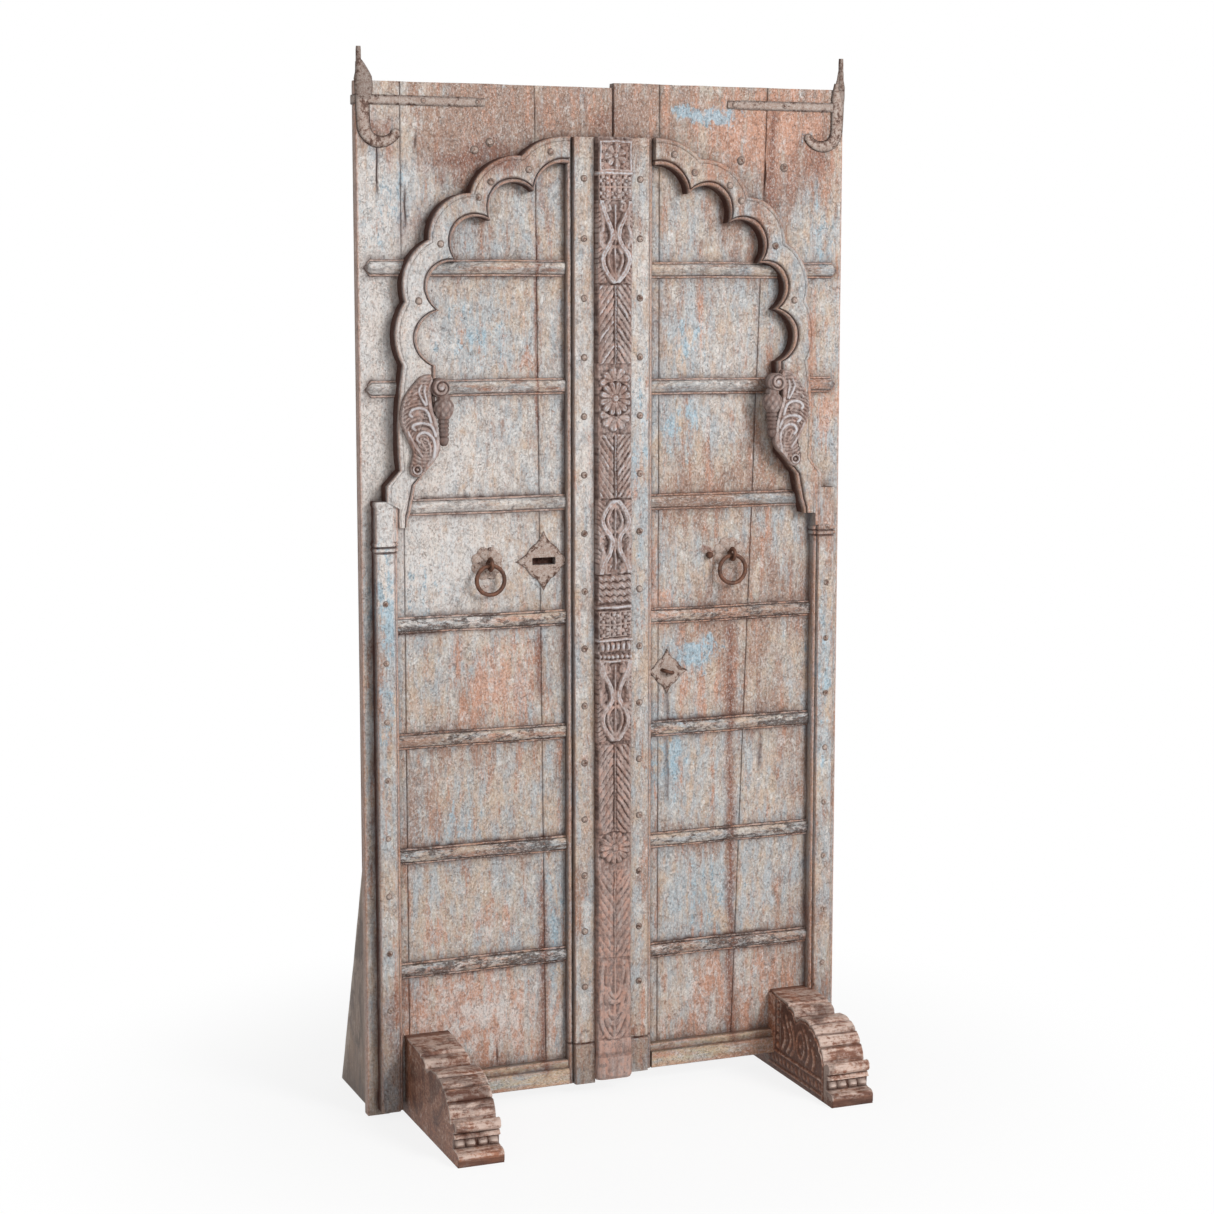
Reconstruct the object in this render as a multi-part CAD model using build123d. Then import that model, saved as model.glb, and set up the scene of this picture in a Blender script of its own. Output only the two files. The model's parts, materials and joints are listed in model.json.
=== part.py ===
from build123d import *
from math import asin, cos, pi, sin
import os

# A pair of carved door leaves on two feet, in millimetres: X to the right, Y to the back, Z up.

# Leaves and their planks
door_width = 1005.0
left_leaf_width = 512.0
left_leaf_top = 1982.0
right_leaf_top = 1991.0
left_leaf_lift = 22.0
right_leaf_lift = 34.0
plank_thickness = 25.0
plank_chamfer = 1.5
seam_gap = 0.8
parting_gap = 3.0
stile_toe_width = 43.0
stile_toe_clearance = 2.0

# Seams between planks: share of the leaf's width from its outer edge, at the foot and at the top
left_seam_shares = [(0.166, 0.166), (0.720, 0.686)]
right_seam_shares = [(0.473, 0.335), (0.804, 0.804)]

# Centre post with its carving
post_offset = -13.0
post_width = 72.0
post_proud = 44.0
post_foot = 30.0
post_top = 1886.0
post_base_height = 52.0
post_base_overhang = 2.0
relief = 6.0
relief_root = 2.0
relief_band = 5.0

# Motifs of the post: share of its height where each one starts and ends
panel_shares = (0.962, 0.995)
top_floret_shares = (0.932, 0.960)
upper_ribbon_shares = (0.849, 0.928)
upper_feather_shares = (0.765, 0.845)
upper_rosette_share = 0.727
palmette_offset_share = 0.014
hanging_feather_shares = (0.624, 0.690)
middle_ribbon_shares = (0.548, 0.620)
fillet_shares = (0.540, 0.530, 0.516, 0.480)
middle_floret_shares = (0.486, 0.514)
dentil_shares = (0.455, 0.477)
lower_ribbon_shares = (0.370, 0.450)
lower_feather_shares = (0.276, 0.366)
lower_rosette_share = 0.253
worn_feather_shares = (0.140, 0.230)
spray_shares = (0.052, 0.132)
upper_feather_count = 8
hanging_feather_count = 7
lower_feather_count = 9
spray_count = 3
petal_count = 12
panel_petal_count = 4
floret_rows = 2
top_floret_columns = 3
middle_floret_columns = 2
dentil_rows = 2
dentil_columns = 6

# Mouldings beside the post, at the outer edges and along the bottom
strip_width = 53.0
strip_proud = 28.0
strip_bead_width = 9.0
strip_bead_drop = 11.0
column_width = 45.0
column_margin = 20.5
column_drop = 9.0
column_top = 1202.0
capital_height = 68.0
capital_band = 9.0
capital_overhang = 3.0
rail_height = 50.0
rail_proud = 24.0
rail_step_height = 14.0
rail_step_drop = 8.0

# Cross battens
batten_count = 7
batten_height = 32.0
batten_proud = 11.0
batten_lip = 4.0
batten_point = 12.0
batten_margin = 11.0
left_batten_low = 286.0
left_batten_pitch = 225.3
right_batten_low = 274.0
right_batten_pitch = 226.8
batten_stub_count = 2
notch_clearance = 0.4

# Cusped arch moulding: shares of its run from the meeting strip and of its rise above its foot
left_arch_margin = 61.5
right_arch_margin = 72.5
arch_foot = 1152.0
arch_proud = 34.0
arch_chamfer = 3.0
arch_neck = 52.0
arch_line_width = 3.0
arch_line_depth = 2.0
arch_line_share = 0.955
arch_springing_share = 0.4155
outer_valley_shares = [(0.276, 0.948), (0.570, 0.8515), (0.806, 0.733), (0.943, 0.576), (0.960, 0.4155)]
outer_bulge_shares = [0.11, 0.18, 0.21, 0.185, 0.145]
inner_cusp_shares = [(0.202, 0.857), (0.453, 0.782), (0.6405, 0.676), (0.741, 0.553), (0.766, 0.413)]
inner_bulge_shares = [0.22, 0.41, 0.42, 0.42, 0.39]
leg_outer_shares = [(0.982, 0.147), (1.057, 0.1076)]
leg_bulge_share = 0.03
leg_inner_shares = [(0.780, 0.168), (0.886, 0.109), (0.9195, 0.033)]
leg_tip_share = 0.943

# Carved brackets on the arch
left_bracket_margin = 100.5
right_bracket_margin = 120.5
bracket_width = 82.0
bracket_height = 200.0
bracket_middle = 1335.0
bracket_plate = 10.0
bracket_relief = 5.0
bracket_rib = 4.5
bracket_leaf_shares = [
    (0.20, 0.42), (-0.10, 0.39), (-0.40, 0.20), (-0.475, 0.0), (-0.40, -0.17), (-0.26, -0.33),
    (-0.17, -0.46), (0.05, -0.48), (0.36, -0.40), (0.50, -0.28), (0.45, -0.12), (0.33, 0.02),
    (0.24, 0.17), (0.28, 0.32),
]
bracket_stem_shares = [(0.40, -0.33), (0.16, 0.04), (0.02, 0.30)]
bracket_rib_end_shares = [(-0.26, 0.20), (-0.34, 0.06), (-0.33, -0.07), (-0.24, -0.20)]
bracket_rib_root_shares = [(0.07, 0.20), (0.13, 0.08), (0.20, -0.05), (0.29, -0.18)]
bracket_rib_bulge_share = 0.22
bracket_eye_share = -0.41
bracket_eye_radius = 10.0
volute_radius = 19.0
volute_proud = 18.0
volute_eye_radius = 9.0
volute_share = (0.48, 0.345)
pendant_share = 0.66
pendant_depth = 24.0
pendant_length = 104.0
pendant_radius = 21.0
pendant_profile_shares = [
    (0.30, 0.0), (0.50, 0.06), (0.34, 0.12), (0.48, 0.17), (0.48, 0.31), (0.60, 0.33), (0.60, 0.37),
    (0.50, 0.39), (0.62, 0.50), (0.78, 0.52), (0.78, 0.56), (1.0, 0.66), (0.92, 0.78), (0.60, 0.82),
    (0.85, 0.88), (0.60, 1.0),
]

# Nails with domed heads
nail_head_radius = 6.5
nail_head_height = 4.0
nail_shank_radius = 2.2
nail_bite = 17.0
nail_clearance = 0.1
strip_nail_low = 221.0
strip_nail_pitch = 113.3
strip_nail_count = 15
column_nail_low = 217.0
column_nail_pitch = 113.0
left_column_nail_count = 8
right_column_nail_count = 9
arch_nail_shares = [
    (0.110, 0.958), (0.236, 0.912), (0.453, 0.880), (0.525, 0.840), (0.741, 0.722), (0.8655, 0.578),
]
spandrel_nail_radius = 8.0
spandrel_nail_shares = [(-0.480, 0.9445), (-0.541, 0.9374), (0.557, 0.9322), (0.744, 0.9262)]

# Iron pivots and their straps
pivot_plate_width = 26.0
pivot_plate_thickness = 4.0
pivot_shoulder_radius = 6.5
pivot_pin_radius = 5.2
pivot_pin_height = 46.0
pivot_shoulder = 14.0
pivot_tail_drop = 110.0
pivot_curl_reach = 72.0
pivot_curl_rise = 24.0
pivot_knob_radius = 10.0
strap_length = 252.0
strap_back_length = 130.0
strap_height = 18.0
strap_thickness = 3.5
strap_drop = 27.0

# Ring pulls
left_ring_margin = 250.5
right_ring_margin = 244.5
ring_height = 1074.0
rose_radius = 33.0
rose_thickness = 3.0
rose_dome = 4.0
rose_petal_count = 8
eye_radius = 11.0
eye_wire_radius = 3.8
eye_shank_radius = 4.0
eye_shank_clearance = 0.2
ring_radius = 28.0
ring_wire_radius = 4.3
ring_seat_clearance = 0.4

# Lock plates
left_plate_offset = 43.5
left_plate_z = 1074.0
left_plate_size = 58.0
right_plate_offset = 39.5
right_plate_z = 842.0
right_plate_size = 45.0
plate_thickness = 3.0
plate_scallop_share = 0.16
plate_tip_share = 0.30
slot_width = 48.0
slot_height = 14.0
slot_depth = 18.0
hasp_radius = 12.0
hasp_wire_radius = 4.0
hasp_shank_length = 15.0
latch_pin_offset = 44.0
latch_pin_drop = 2.0
latch_pin_radius = 7.0
latch_pin_length = 16.0

# Carved feet in front, struts and ties behind
foot_width = 90.0
left_foot_margin = 119.5
right_foot_margin = 98.5
left_foot_reach = 334.0
right_foot_reach = 290.0
left_foot_height = 156.0
right_foot_height = 164.0
foot_top_shares = [(0.0, 1.0), (0.30, 0.96), (0.40, 0.90), (0.435, 0.81), (0.545, 0.885)]
foot_belly_end_share = (0.855, 0.50)
foot_belly_bulge_share = -0.17
foot_toe_shares = [
    (0.855, 0.45), (0.925, 0.50), (0.945, 0.46), (0.945, 0.39), (0.915, 0.365), (0.935, 0.30),
    (0.935, 0.16), (1.0, 0.155), (1.0, 0.0),
]
foot_flute_shares = [0.18, 0.40, 0.62, 0.84]
foot_flute_radius = 7.0
foot_flute_depth = 2.5
foot_bead_count = 4
foot_bead_share = 0.23
foot_bead_radius = 9.0
foot_bead_seat_share = 0.35
foot_heel = 52.0
foot_carving_relief = 3.0
foot_carving_root = 1.0
foot_carving_band = 6.0
foot_border_shares = [(0.10, 0.26), (0.90, 0.26)]
foot_scroll_shares = [(0.23, 0.36), (0.29, 0.58), (0.36, 0.80)]
foot_scroll_bulge_share = 0.28
foot_oval_share = (0.51, 0.53)
foot_oval_size_shares = (0.070, 0.200)
foot_side_bead_count = 5
foot_side_bead_shares = [(0.15, 0.38), (0.15, 0.86)]
strut_thickness = 36.0
strut_margin = 16.0
strut_reach = 252.0
strut_height = 526.0
strut_top_depth = 36.0
tie_margin = 122.5
tie_height = 72.0
tie_thickness = 22.0
lower_tie_z = 760.0
upper_tie_z = 1700.0
tie_nail_shares = [-0.46, -0.30, -0.12, 0.12, 0.30, 0.46]

# Places that follow from the sizes above
leaf_front = (max(left_foot_reach, right_foot_reach) - strut_reach) / 2
leaf_back = leaf_front + plank_thickness
half_width = door_width / 2
parting = left_leaf_width - half_width
post_centre = parting + post_offset
strip_left_edge = post_centre - post_width / 2 - strip_width
strip_right_edge = post_centre + post_width / 2 + strip_width
column_outer = half_width - column_margin
column_inner = column_outer - column_width
right_leaf_width = door_width - left_leaf_width
left_arch_span = half_width - left_arch_margin
right_arch_span = half_width - right_arch_margin
left_bracket_x = half_width - left_bracket_margin
right_bracket_x = half_width - right_bracket_margin
left_ring_x = left_ring_margin - half_width
right_ring_x = half_width - right_ring_margin
left_plate_x = strip_left_edge - left_plate_offset
right_plate_x = strip_right_edge + right_plate_offset
latch_pin_x = right_ring_x - latch_pin_offset
latch_pin_z = ring_height - latch_pin_drop
left_foot_x = left_foot_margin - half_width
right_foot_x = half_width - right_foot_margin
tie_length = door_width - 2 * tie_margin
eye_proud = rose_thickness + rose_dome + eye_radius + eye_wire_radius


def strip_edge(side):
    return strip_left_edge if side < 0 else strip_right_edge


def leaf_lift(side):
    return left_leaf_lift if side < 0 else right_leaf_lift


def leaf_top(side):
    return left_leaf_top if side < 0 else right_leaf_top


def face_plane(proud):
    return Plane(origin=(0, leaf_front - proud, 0), x_dir=(1, 0, 0), z_dir=(0, -1, 0))


def slab(face, low, high):
    return extrude(face_plane(low) * face, amount=high - low)


def polygon(points):
    return make_face(Polyline(*points, close=True))


def block(x_range, proud_range, z_range):
    corners = [(x, z) for x, z in zip((x_range[0], x_range[1], x_range[1], x_range[0]),
                                      (z_range[0], z_range[0], z_range[1], z_range[1]))]
    return slab(polygon(corners), proud_range[0], proud_range[1])


def upright(points, z_range):
    face = make_face(Polyline(*[(x, leaf_front - proud) for x, proud in points], close=True))
    return extrude(Pos(0, 0, z_range[0]) * face, amount=z_range[1] - z_range[0])


def front_spot(x, proud, z):
    return Plane(origin=(x, leaf_front - proud, z), x_dir=(1, 0, 0), z_dir=(0, -1, 0))


def back_spot(x, behind, z):
    return Plane(origin=(x, leaf_back + behind, z), x_dir=(-1, 0, 0), z_dir=(0, 1, 0))


def front_edges(part, proud):
    return part.edges().filter_by_position(Axis.Y, leaf_front - proud, leaf_front - proud)


# Nails: a domed head on a straight shank


def nail(head_radius, length):
    ball = (head_radius ** 2 + nail_head_height ** 2) / (2 * nail_head_height)
    lean = asin(head_radius / ball) / 2
    crown = ThreePointArc((head_radius, 0), (ball * sin(lean), nail_head_height - ball + ball * cos(lean)),
                          (0, nail_head_height))
    rest = Polyline((0, nail_head_height), (0, -length), (nail_shank_radius, -length), (nail_shank_radius, 0),
                    (head_radius, 0))
    profile = make_face([crown] + rest.edges())
    return revolve(Plane.XZ * profile, Axis.Z)


def nails(spots, head_radius, cover):
    shape = nail(head_radius, cover + nail_bite)
    return Compound(children=[spot * shape for spot in spots])


def nail_holes(spots, cover):
    hole = Cylinder(nail_shank_radius + nail_clearance, cover + nail_bite + nail_clearance,
                    align=(Align.CENTER, Align.CENTER, Align.MAX))
    return [spot * hole for spot in spots]


def strip_nail_spots(side):
    x = strip_edge(side) - side * (strip_width + strip_bead_width) / 2
    heights = [strip_nail_low + i * strip_nail_pitch for i in range(strip_nail_count)]
    return [front_spot(x, strip_proud, z) for z in heights]


def column_nail_spots(side):
    x = side * (column_outer - (column_width - strip_bead_width) / 2)
    count = left_column_nail_count if side < 0 else right_column_nail_count
    heights = [column_nail_low + i * column_nail_pitch for i in range(count)]
    return [front_spot(x, strip_proud, z) for z in heights]


def arch_point(side, shares):
    edge = strip_edge(side)
    end = -left_arch_span if side < 0 else right_arch_span
    return (edge + shares[0] * (end - edge), arch_foot + shares[1] * (post_top - arch_foot))


def arch_nail_spots(side):
    spots = []
    for shares in arch_nail_shares:
        x, z = arch_point(side, shares)
        spots.append(front_spot(x, arch_proud, z))
    return spots


def spandrel_spots():
    return [front_spot(x * half_width, 0, z * left_leaf_top) for x, z in spandrel_nail_shares]


def tie_spots():
    return [back_spot(share * tie_length, tie_thickness, z)
            for z in (lower_tie_z, upper_tie_z) for share in tie_nail_shares]


# Planks of the two leaves, pierced for the ring pulls and the lock


def plank_outlines(side):
    outer = side * half_width
    width = left_leaf_width - parting_gap / 2 if side < 0 else right_leaf_width - parting_gap / 2
    seams = left_seam_shares if side < 0 else right_seam_shares
    lines = [(0.0, 0.0)] + seams + [(1.0, 1.0)]
    low, high = leaf_lift(side), leaf_top(side)
    outlines = []
    for i, (near, far) in enumerate(zip(lines[:-1], lines[1:])):
        near_gap = seam_gap / 2 if i > 0 else 0
        far_gap = seam_gap / 2 if i < len(seams) else 0
        foot_near = outer - side * (near[0] * width + near_gap)
        foot_far = outer - side * (far[0] * width - far_gap)
        top_far = outer - side * (far[1] * width - far_gap)
        top_near = outer - side * (near[1] * width + near_gap)
        outlines.append([(foot_near, low), (foot_far, low), (top_far, high), (top_near, high)])
    return outlines


def planks(side):
    parts = [slab(polygon(outline), -plank_thickness, 0) for outline in plank_outlines(side)]
    if side < 0:
        toe = block((-half_width, -half_width + stile_toe_width), (-plank_thickness, 0),
                    (stile_toe_clearance, left_leaf_lift))
        parts[0] = parts[0] + toe
    parts = [chamfer(front_edges(part, 0).filter_by(Axis.Z, tolerance=5), plank_chamfer) for part in parts]
    x = left_ring_x if side < 0 else right_ring_x
    holes = [front_spot(x, 0, ring_height)
             * Cylinder(eye_shank_radius + eye_shank_clearance, 3 * plank_thickness)]
    holes += nail_holes(spandrel_spots(), 0)
    holes += nail_holes(strip_nail_spots(side), strip_proud)
    holes += nail_holes(column_nail_spots(side), strip_proud)
    holes += nail_holes(arch_nail_spots(side), arch_proud)
    holes += nail_holes(tie_spots(), tie_thickness)
    if side < 0:
        holes.append(lock_slot(0))
    else:
        holes.append(front_spot(latch_pin_x, 0, latch_pin_z)
                     * Cylinder(latch_pin_radius / 2 + nail_clearance, latch_pin_length * 2))
        holes += [front_spot(right_plate_x + i * hasp_radius, 0, right_plate_z)
                  * Cylinder(hasp_wire_radius + nail_clearance, 2 * hasp_shank_length) for i in (-1, 1)]
    return [part - holes for part in parts]


def lock_slot(proud):
    return block((left_plate_x - slot_width / 2, left_plate_x + slot_width / 2), (-slot_depth, proud),
                 (left_plate_z - slot_height / 2, left_plate_z + slot_height / 2))


# Cross battens with a ridge, pointed where they show outside the arch


def batten_heights(side):
    low = left_batten_low if side < 0 else right_batten_low
    pitch = left_batten_pitch if side < 0 else right_batten_pitch
    return [low + i * pitch for i in range(batten_count)]


def batten_end(index):
    if index >= batten_count - batten_stub_count:
        return half_width - batten_margin
    return column_inner


def batten_profile(z, margin):
    half = batten_height / 2 + margin
    return [(0, z - half), (batten_lip + margin, z - half), (batten_proud + margin, z),
            (batten_lip + margin, z + half), (0, z + half)]


def batten_bar(x_range, z, margin):
    points = [(leaf_front - proud, height) for proud, height in batten_profile(z, margin)]
    face = Plane.YZ * make_face(Polyline(*points, close=True))
    return extrude(Pos(min(x_range), 0, 0) * face, amount=abs(x_range[1] - x_range[0]), dir=(1, 0, 0))


def batten(side, index):
    z = batten_heights(side)[index]
    outer = side * batten_end(index)
    inner = strip_edge(side)
    bar = batten_bar((outer, inner), z, 0)
    if index < batten_count - batten_stub_count:
        return bar
    shoulder = outer - side * batten_point
    half = batten_height / 2
    arrow = [(outer, z), (shoulder, z - half), (inner, z - half), (inner, z + half), (shoulder, z + half)]
    return bar & slab(polygon(arrow), 0, batten_proud)


# Cusped arch moulding, from the meeting strip round and down to the column


def arch_outline(side):
    edge = strip_edge(side)
    outer = [(edge, post_top)] + [arch_point(side, s) for s in outer_valley_shares]
    inner = [(edge, post_top - arch_neck)] + [arch_point(side, s) for s in inner_cusp_shares]
    leg = [arch_point(side, s) for s in leg_outer_shares]
    hollow = [arch_point(side, s) for s in leg_inner_shares]
    tip = arch_point(side, (leg_tip_share, 0))
    edges = []
    for start, end, share in zip(outer[:-1], outer[1:], outer_bulge_shares):
        edges.append(lobe(start, end, side * share))
    edges.append(lobe(outer[-1], leg[0], side * leg_bulge_share))
    edges += Polyline(leg[0], leg[1], (leg[1][0], column_top), (side * column_inner, column_top),
                      (side * column_inner, arch_foot), tip, *reversed(hollow), inner[-1]).edges()
    for start, end, share in zip(inner[:-1], inner[1:], inner_bulge_shares):
        edges.append(lobe(start, end, side * share))
    edges.append(Line(inner[0], outer[0]))
    return make_face(edges)


def lobe(start, end, share):
    chord = Vector(*end) - Vector(*start)
    middle = (Vector(*start) + Vector(*end)) / 2 + Vector(-chord.Y, chord.X) * share
    return ThreePointArc(start, middle, end)


def arch_line_point(side, shares):
    rise = arch_springing_share + (shares[1] - arch_springing_share) * arch_line_share
    return arch_point(side, (shares[0] * arch_line_share, rise))


def arch_line(side):
    points = [(strip_edge(side), arch_line_point(side, (0, 1))[1])]
    points += [arch_line_point(side, s) for s in outer_valley_shares]
    lines = []
    for start, end, share in zip(points[:-1], points[1:], outer_bulge_shares):
        lines.append(trace(lobe(start, end, side * share), arch_line_width))
    return slab(Sketch() + lines, arch_proud - arch_line_depth, arch_proud + arch_line_depth)


def arch_moulding(side):
    part = slab(arch_outline(side), 0, arch_proud)
    part = chamfer(front_edges(part, arch_proud), arch_chamfer) - arch_line(side)
    for index, z in enumerate(batten_heights(side)):
        end = side * (batten_end(index) + notch_clearance)
        part = part - batten_bar((end, strip_edge(side)), z, notch_clearance)
    return part - nail_holes(arch_nail_spots(side), arch_proud)


# Carved brackets: leaf with ribs, volute and turned pendant


def bracket_point(side, shares):
    centre = left_bracket_x if side < 0 else right_bracket_x
    return (side * (centre - shares[0] * bracket_width), bracket_middle + shares[1] * bracket_height)


def bracket(side):
    outline = Spline(*[bracket_point(side, s) for s in bracket_leaf_shares], periodic=True)
    plate = slab(make_face(outline), arch_proud, arch_proud + bracket_plate)
    stem_points = [bracket_point(side, s) for s in bracket_stem_shares]
    stem = Spline(*stem_points)
    raised = [trace(outline, bracket_rib), trace(stem, bracket_rib)]
    for root, end in zip(bracket_rib_root_shares, bracket_rib_end_shares):
        rib = lobe(bracket_point(side, root), bracket_point(side, end), side * bracket_rib_bulge_share)
        raised.append(trace(rib, bracket_rib))
    face = arch_proud + bracket_plate
    carving = slab(Sketch() + raised, face - bracket_plate / 2, face + bracket_relief)
    eye_x, eye_z = bracket_point(side, (0, bracket_eye_share))
    eye = front_spot(eye_x, arch_proud + bracket_plate / 2, eye_z) * Cylinder(
        bracket_eye_radius, bracket_plate / 2 + bracket_relief, align=(Align.CENTER, Align.CENTER, Align.MIN))
    volute_x, volute_z = bracket_point(side, volute_share)
    volute = front_spot(volute_x, arch_proud, volute_z) * Cylinder(
        volute_radius, volute_proud, align=(Align.CENTER, Align.CENTER, Align.MIN))
    groove = front_spot(volute_x, arch_proud + volute_proud, volute_z) * (
        Cylinder(volute_radius - bracket_rib, bracket_relief) - Cylinder(volute_eye_radius, bracket_relief))
    neck_x, neck_z = bracket_point(side, bracket_leaf_shares[0])
    neck = slab(polygon([(neck_x, neck_z), (volute_x, volute_z + volute_radius), (volute_x, volute_z),
                         bracket_point(side, bracket_leaf_shares[-2])]), arch_proud, face)
    pendant_x = bracket_point(side, (pendant_share, 0))[0]
    pendant_foot = volute_z - volute_radius / 2 - pendant_length
    points = [(r * pendant_radius, h * pendant_length) for r, h in pendant_profile_shares]
    profile = polygon([(0, 0)] + points + [(0, pendant_length)])
    pendant_y = leaf_front - arch_proud - bracket_plate + pendant_depth / 2
    pendant = Pos(pendant_x, pendant_y, pendant_foot) * revolve(Plane.XZ * profile, Axis.Z)
    carved = plate + neck + volute + pendant + carving + eye - groove
    return carved - slab(arch_outline(side), 0, arch_proud)


# Columns, meeting strips and bottom rails


def moulded_strip(flat_x, moulded_x, z_range):
    toward = 1 if moulded_x > flat_x else -1
    bead = moulded_x - toward * strip_bead_width
    low = strip_proud - strip_bead_drop
    points = [(flat_x, 0), (flat_x, strip_proud), (bead, strip_proud), (bead, low),
              (moulded_x - toward * strip_bead_width / 3, low), (moulded_x, low / 2), (moulded_x, 0)]
    return upright(points, z_range)


def meeting_strip(side):
    part = moulded_strip(post_centre + side * post_width / 2, strip_edge(side), (leaf_lift(side), post_top))
    return part - nail_holes(strip_nail_spots(side), strip_proud)


def column(side):
    low = leaf_lift(side) - column_drop if side < 0 else leaf_lift(side)
    shaft = moulded_strip(side * column_outer, side * column_inner, (low, column_top))
    bands = []
    for z in (column_top - capital_height, column_top - 2.5 * capital_band, column_top - capital_band):
        face = block((side * column_inner, side * (column_outer + capital_overhang)),
                     (0, strip_proud + capital_overhang), (z, z + capital_band))
        bands.append(chamfer(front_edges(face, strip_proud + capital_overhang), capital_overhang * 0.9))
    return shaft + bands - nail_holes(column_nail_spots(side), strip_proud)


def foot_inner(side):
    centre = left_foot_x if side < 0 else right_foot_x
    return centre - side * foot_width / 2


def bottom_rail(side):
    x_range = (foot_inner(side), strip_edge(side))
    low = leaf_lift(side)
    high = low + rail_height
    step = block(x_range, (0, rail_proud - rail_step_drop), (low, high))
    body = block(x_range, (0, rail_proud), (low, high - rail_step_height))
    return step + chamfer(front_edges(body, rail_proud).sort_by(Axis.Z)[-1], rail_step_drop / 2)


# Centre post and the motifs of its carving, from the top down


def post_height(share):
    return post_foot + share * (post_top - post_foot)


def post_range(shares):
    return (post_height(shares[0]), post_height(shares[1]))


def bar(x_range, z_range):
    return polygon([(x_range[0], z_range[0]), (x_range[1], z_range[0]), (x_range[1], z_range[1]),
                    (x_range[0], z_range[1])])


def cross_band(z, height):
    half = post_width / 2
    return [bar((post_centre - half, post_centre + half), (z, z + height))]


def florets(z_range, columns, rows):
    faces = []
    cell_x = post_width * 0.8 / columns
    cell_z = (z_range[1] - z_range[0]) / rows
    radius = min(cell_x, cell_z) * 0.40
    for i in range(columns):
        for j in range(rows):
            x = post_centre + (i - (columns - 1) / 2) * cell_x
            z = z_range[0] + (j + 0.5) * cell_z
            faces += [Pos(x + radius * 0.55 * cos(k * pi / 2), z + radius * 0.55 * sin(k * pi / 2))
                      * Circle(radius * 0.5) for k in range(4)]
    return faces


def feather(z_range, count, rising):
    faces = [bar((post_centre - relief_band / 2, post_centre + relief_band / 2), z_range)]
    pitch = (z_range[1] - z_range[0]) / count
    reach = post_width * 0.46
    lean = pitch * 0.9 * rising
    for i in range(count):
        foot = z_range[0] + (i + 0.25) * pitch
        for turn in (-1, 1):
            tip = post_centre + turn * reach
            faces.append(polygon([(post_centre, foot), (tip, foot + lean), (tip, foot + lean + pitch * 0.45),
                                  (post_centre, foot + pitch * 0.55)]))
    return faces


def rosette(z, radius, petals):
    faces = [Pos(post_centre, z) * Circle(radius * 0.30)]
    for i in range(petals):
        turn = 360 * i / petals
        faces.append(Pos(post_centre, z) * Rot(0, 0, turn) * Pos(radius * 0.68, 0)
                     * Ellipse(radius * 0.32, radius * 0.62 * sin(pi / petals)))
    return faces


def palmette(z, height, rising):
    faces = []
    for turn in (-50, -25, 0, 25, 50):
        faces.append(Pos(post_centre, z) * Rot(0, 0, 90 * rising + turn) * Pos(height * 0.6, 0)
                     * Ellipse(height * 0.40, height * 0.12))
    return faces


def ribbons(z_range, rising):
    faces = []
    low, high = z_range if rising > 0 else (z_range[1], z_range[0])
    waist = low + (high - low) * 0.45
    reach = post_width * 0.40
    for turn in (-1, 1):
        tip = (post_centre, low)
        middle = (post_centre + turn * reach * 0.25, waist)
        flare = (post_centre + turn * reach, high)
        belly = (post_centre + turn * reach, (low + waist) / 2)
        hip = (post_centre + turn * reach * 0.45, (waist + high) / 2)
        faces.append(trace(ThreePointArc(tip, belly, middle), relief_band))
        faces.append(trace(ThreePointArc(middle, hip, flare), relief_band))
        faces.append(trace(Line(tip, middle), relief_band / 2))
    return faces


def dentils(z_range, columns, rows):
    faces = []
    cell_x = post_width * 0.9 / columns
    cell_z = (z_range[1] - z_range[0]) / rows
    for i in range(columns):
        for j in range(rows):
            x = post_centre + (i - (columns - 1) / 2) * cell_x
            z = z_range[0] + (j + 0.5) * cell_z
            faces.append(bar((x - cell_x * 0.36, x + cell_x * 0.36), (z - cell_z * 0.36, z + cell_z * 0.36)))
    return faces


def sprays(z_range, count):
    faces = []
    pitch = (z_range[1] - z_range[0]) / count
    for i in range(count):
        z = z_range[0] + i * pitch
        for turn in (-1, 1):
            root = (post_centre + turn * relief_band / 2, z)
            end = (post_centre + turn * post_width * 0.42, z + pitch * 0.85)
            faces.append(trace(lobe(root, end, -turn * 0.18), relief_band))
    return faces


def post_panel():
    low, high = post_range(panel_shares)
    faces = cross_band(high - relief_band, relief_band)
    faces += cross_band(low, relief_band)
    for turn in (-1, 1):
        edge = post_centre + turn * (post_width - relief_band) / 2
        faces.append(bar((edge - relief_band / 2, edge + relief_band / 2), (low, high)))
    return faces + rosette((low + high) / 2, (high - low) * 0.36, panel_petal_count)


def post_carving():
    half = post_width / 2
    faces = post_panel()
    faces += florets(post_range(top_floret_shares), top_floret_columns, floret_rows)
    faces += ribbons(post_range(upper_ribbon_shares), 1)
    faces += feather(post_range(upper_feather_shares), upper_feather_count, 1)
    for turn in (-1, 1):
        root = post_height(upper_rosette_share + turn * palmette_offset_share)
        faces += palmette(root, half * 0.9, turn)
    faces += rosette(post_height(upper_rosette_share), half * 0.78, petal_count)
    faces += feather(post_range(hanging_feather_shares), hanging_feather_count, -1)
    faces += ribbons(post_range(middle_ribbon_shares), -1)
    for share in fillet_shares:
        faces += cross_band(post_height(share), relief_band)
    faces += florets(post_range(middle_floret_shares), middle_floret_columns, floret_rows)
    faces += dentils(post_range(dentil_shares), dentil_columns, dentil_rows)
    faces += ribbons(post_range(lower_ribbon_shares), 1)
    faces += feather(post_range(lower_feather_shares), lower_feather_count, 1)
    faces += rosette(post_height(lower_rosette_share), half * 0.80, petal_count)
    faces += feather(post_range(worn_feather_shares), lower_feather_count, -1)
    return faces + sprays(post_range(spray_shares), spray_count)


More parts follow.
